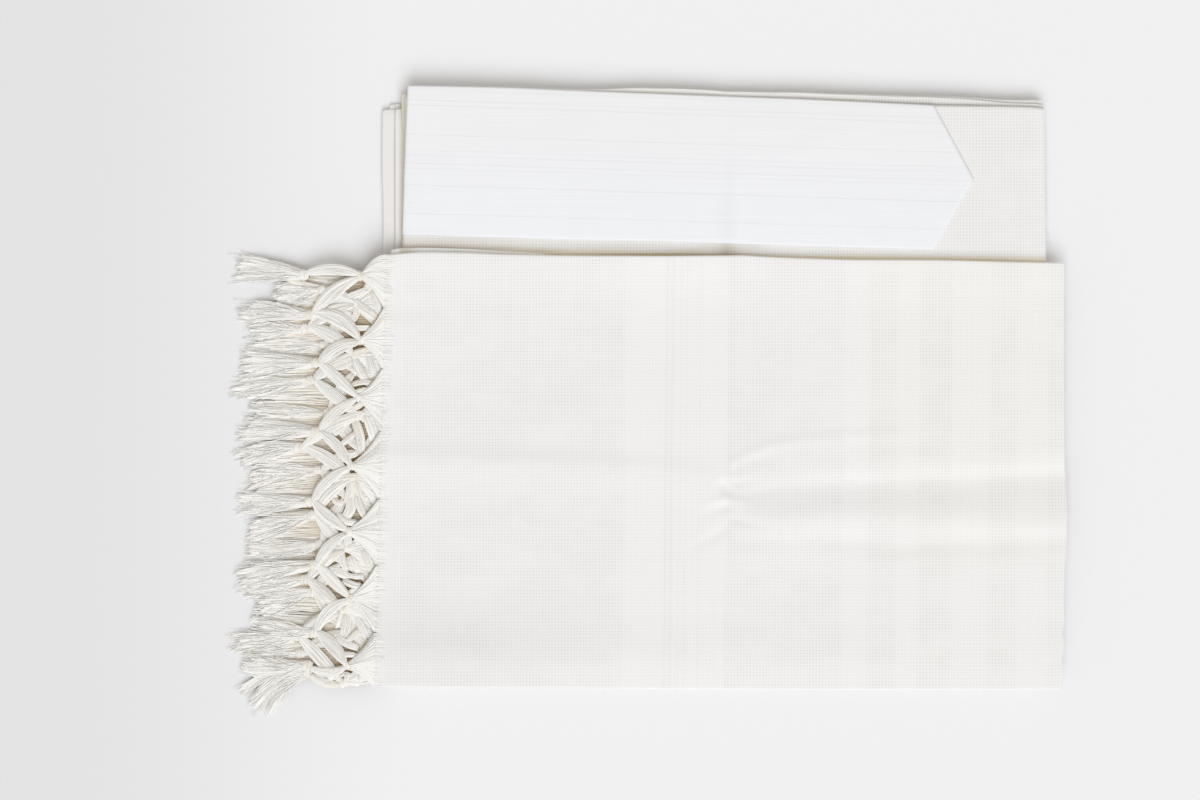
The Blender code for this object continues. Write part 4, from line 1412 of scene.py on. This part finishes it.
def addTassel(skein, chance, net, head, row):
    # locks of loose yarns that run on from a knot, overlap and spread to ragged tips
    _, (tipX, tipY), wide, bend, slant = row
    count = max(4, round(wide / tassel["lockEvery"]))
    parts = np.linspace(0, 1, tassel["points"])
    belly = bend * np.sin(math.pi * parts)
    spine = np.column_stack([
        head[0] - 1 + (tipX + 5 - head[0]) * parts,
        head[1] + (tipY - head[1]) * parts**0.8 + belly,
        netHeight(net, head[0] + (tipX - head[0]) * parts, head[1]) - 0.7,
    ])
    sheet = (1.4 + wide * 0.40 * parts**0.8) * (1 - 0.45 * parts**6)
    sheetThick = np.linspace(1.0, 0.35, tassel["points"])
    spinYarn(skein, aboveTable(spine, 0.6), sheet, skein["toneRange"][1] * 0.5, 10, sheetThick / sheet)
    order = list(range(count))
    chance.shuffle(order)
    radius = fringe["yarnRadius"] * np.linspace(*tassel["taper"], tassel["points"])
    for rank, number in enumerate(order):
        aside = (number + 0.5) / count * 2 - 1 + chance.uniform(-0.5, 0.5) / count
        tip = (tipX + chance.uniform(*tassel["tipReach"]) - aside * slant, tipY + aside * wide / 2 * 0.9)
        x = head[0] - 1.4 + (tip[0] - head[0] + 1.4) * parts
        opened = parts**0.8
        y = head[1] + (tip[1] - head[1]) * opened + aside * 2.4 * (1 - opened) + belly
        y = y + chance.uniform(0.3, 1.5) * parts * swayed(chance, parts, 3, 7)
        z = netHeight(net, x, head[1]) + (rank / count - 0.5) * (0.9 - 0.3 * parts)
        z = z - 0.8 * aside**2 * (1 - parts)
        z = z + chance.uniform(-0.25, 0.25) * np.sin(parts * 3 + chance.uniform(0, 6))
        full = wide / count * chance.uniform(*tassel["lockWidth"])
        widths = tassel["headWidth"] + (full - tassel["headWidth"]) * opened
        thick, thinner = tassel["headThick"]
        thicks = thick - thinner * opened
        line = aboveTable(np.column_stack([x, y, z]), 0.5)
        addBundle(skein, chance, line, widths, thicks, tassel["lockYarns"], radius, tassel["fray"])
    radius = fringe["yarnRadius"] * np.linspace(*tassel["strayTaper"], tassel["points"])
    for _ in range(tassel["strays"]):
        aside = chance.uniform(-1, 1)
        endX, endY = tipX + chance.uniform(*tassel["strayReach"]), tipY + aside * wide * 0.6
        x = head[0] - 1.4 + (endX - head[0] + 1.4) * parts
        y = head[1] + (endY - head[1]) * parts**0.7 + belly
        y = y + chance.uniform(0.8, 2.4) * np.sin(math.pi * parts) * swayed(chance, parts, 3, 8)
        z = netHeight(net, x, head[1]) + 0.5 + 0.5 * np.sin(parts * chance.uniform(2, 6))
        spinYarn(skein, aboveTable(np.column_stack([x, y, z]), 0.3), radius, 0.0)


# the ends that lie lowest, seen only through the gaps of the three nets
underLocks = {
    "seed": 8,
    "count": 27,
    "from": 82,
    "to": -186,
    "tipX": (-280, -270),
    "shortFrom": 58,             # above this place they end before the first tassels
    "shortTipX": (-256, -250),
    "heights": (9.6, 9.0, 7.3, 3.9, 1.0),
    "points": 9,
    "wide": 15,
    "thick": 2.0,
    "yarns": 34,
    "yarnRadius": 0.5,
    "fray": 0.4,
    # painted shade: these lowest ends are brown, standing for the shade deep in the gaps
    "tone": (0.6, 0.95),
    "fadeTo": 0.0,
}


def addUnderLocks(skein, chance):
    # lower ends that fill the gaps of the nets
    cut = underLocks
    parts = np.linspace(0, 1, cut["points"])
    for y in np.linspace(cut["from"], cut["to"], cut["count"]):
        y = y + chance.uniform(-2, 2)
        tip = chance.uniform(*cut["shortTipX" if y > cut["shortFrom"] else "tipX"])
        x = edgeAt(y) - 0.5 + (tip - edgeAt(y)) * parts
        sway = y + 3 * np.sin(parts * chance.uniform(2, 4) + chance.uniform(0, 6)) * parts
        z = netHeight(cut, x, y) + chance.uniform(-0.4, 0.4)
        widths = cut["wide"] * (1 - 0.35 * parts**3)
        thicks = np.full(cut["points"], cut["thick"])
        line = np.column_stack([x, sway, z])
        addBundle(skein, chance, line, widths, thicks, cut["yarns"], cut["yarnRadius"], cut["fray"])


def rootAt(net):
    # how high a net leaves the cloth: the top one follows the front cloth's own rises
    if net["name"] == "netTop":
        low = frontPanel["top"] - 0.15
        return lambda y: low + float(frontRelief(np.array([edgeAt(y) + 1]), np.array([y]))[0])
    return lambda y: net["heights"][0]


# yarns that lie well below their neighbours are browner, as the light has gone through others first
deepShade = {
    "corner": (-310, -235),    # of a grid of cells of 1 mm over the fringe
    "cells": (150, 350),
    "reach": 4,                # how far the neighbours lie, in cells
    "from": 0.4,               # below them, mm
    "over": 1.5,
    "tips": (-275, 50, 0.1),   # it fades towards the tips
}


def shadeDeepYarns(skeins):
    points = np.concatenate([np.concatenate(skein["points"]) for skein in skeins])
    places = []
    for axis in (0, 1):
        cells = (points[:, axis] - deepShade["corner"][axis]).astype(int)
        places.append(np.clip(cells, 0, deepShade["cells"][axis] - 1))
    tops = np.zeros(deepShade["cells"])
    np.maximum.at(tops, tuple(places), points[:, 2])
    reach = deepShade["reach"]
    total = np.zeros_like(tops)
    for a in range(-reach, reach + 1):
        for b in range(-reach, reach + 1):
            total += np.roll(tops, (a, b), (0, 1))
    around = total / (2 * reach + 1) ** 2
    depth = around[tuple(places)] - points[:, 2]
    shade = np.clip((depth - deepShade["from"]) / deepShade["over"], 0, 1)
    tips, over, least = deepShade["tips"]
    shade *= np.clip((points[:, 0] - tips) / over, least, 1)
    first = 0
    for skein in skeins:
        tones = np.concatenate(skein["tones"])
        part = shade[first : first + len(tones)]
        skein["tones"] = [tones + (1 - tones) * part]
        first += len(tones)


def newSkein(toneRange, fadeTo):
    lists = {key: [] for key in ("points", "faces", "tones", "round")}
    return {**lists, "count": 0, "toneRange": toneRange, "fadeTo": fadeTo}


def yarnPiece(name, skein, solid, material):
    piece = meshPiece(name, np.concatenate(skein["points"]) * mm, skein["faces"], material)
    piece.data.polygons.foreach_set("use_smooth", skein["round"])
    tones = piece.data.attributes.new("brownnessAndShade", "FLOAT", "POINT")
    tones.data.foreach_set("value", np.concatenate(skein["tones"]).astype(np.float32))
    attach(piece, "root")
    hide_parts(solid)
    triangles = sum(len(face) - 2 for face in skein["faces"])
    print(name, "made,", triangles, "triangles")


def makeNet(net):
    chance = random.Random(net["seed"])
    net["rootHeight"] = rootAt(net)
    skein = newSkein(net["tone"], fringe["fadeTo"])
    knots = [np.array([x, y, netHeight(net, x, y)]) for x, y in net["knots"]]
    between = [(a[1] + b[1]) / 2 for a, b in zip(knots, knots[1:])]
    net["notches"] = [fringe["stripTop"], *between, fringe["stripBottom"]]
    heads = [np.array([x, y, netHeight(net, x, y)]) for (x, y), *_ in net["tassels"]]
    for number, knot in enumerate(knots):
        addFan(skein, chance, net, number, knot)
        addKnot(skein, chance, knot, fringe["firstKnot"], chance.uniform(-0.4, 0.4))
        for side, other in ((1, number), (-1, number + 1)):
            place = number * 2 + (side < 0)
            addArm(skein, chance, net, knot, heads[other], side, net["bows"][place], net["widths"][place])
    for row in crossings[net["crossings"]]:
        addCrossing(skein, chance, nets[1], row)
    for head, row in zip(heads, net["tassels"]):
        addKnot(skein, chance, head, fringe["secondKnot"], chance.uniform(-0.3, 0.3))
        addTassel(skein, chance, net, head, row)
    return skein


yarnFinish = yarnMaterial("fringe yarn", yarnLook)
skeins = [makeNet(net) for net in nets]
lowSkein = newSkein(underLocks["tone"], underLocks["fadeTo"])
addUnderLocks(lowSkein, random.Random(underLocks["seed"]))
shadeDeepYarns([*skeins, lowSkein])
for net, skein in zip(nets, skeins):
    yarnPiece(net["name"], skein, net["solid"], yarnFinish)
yarnPiece("underLocks", lowSkein, "fringe_third", yarnFinish)
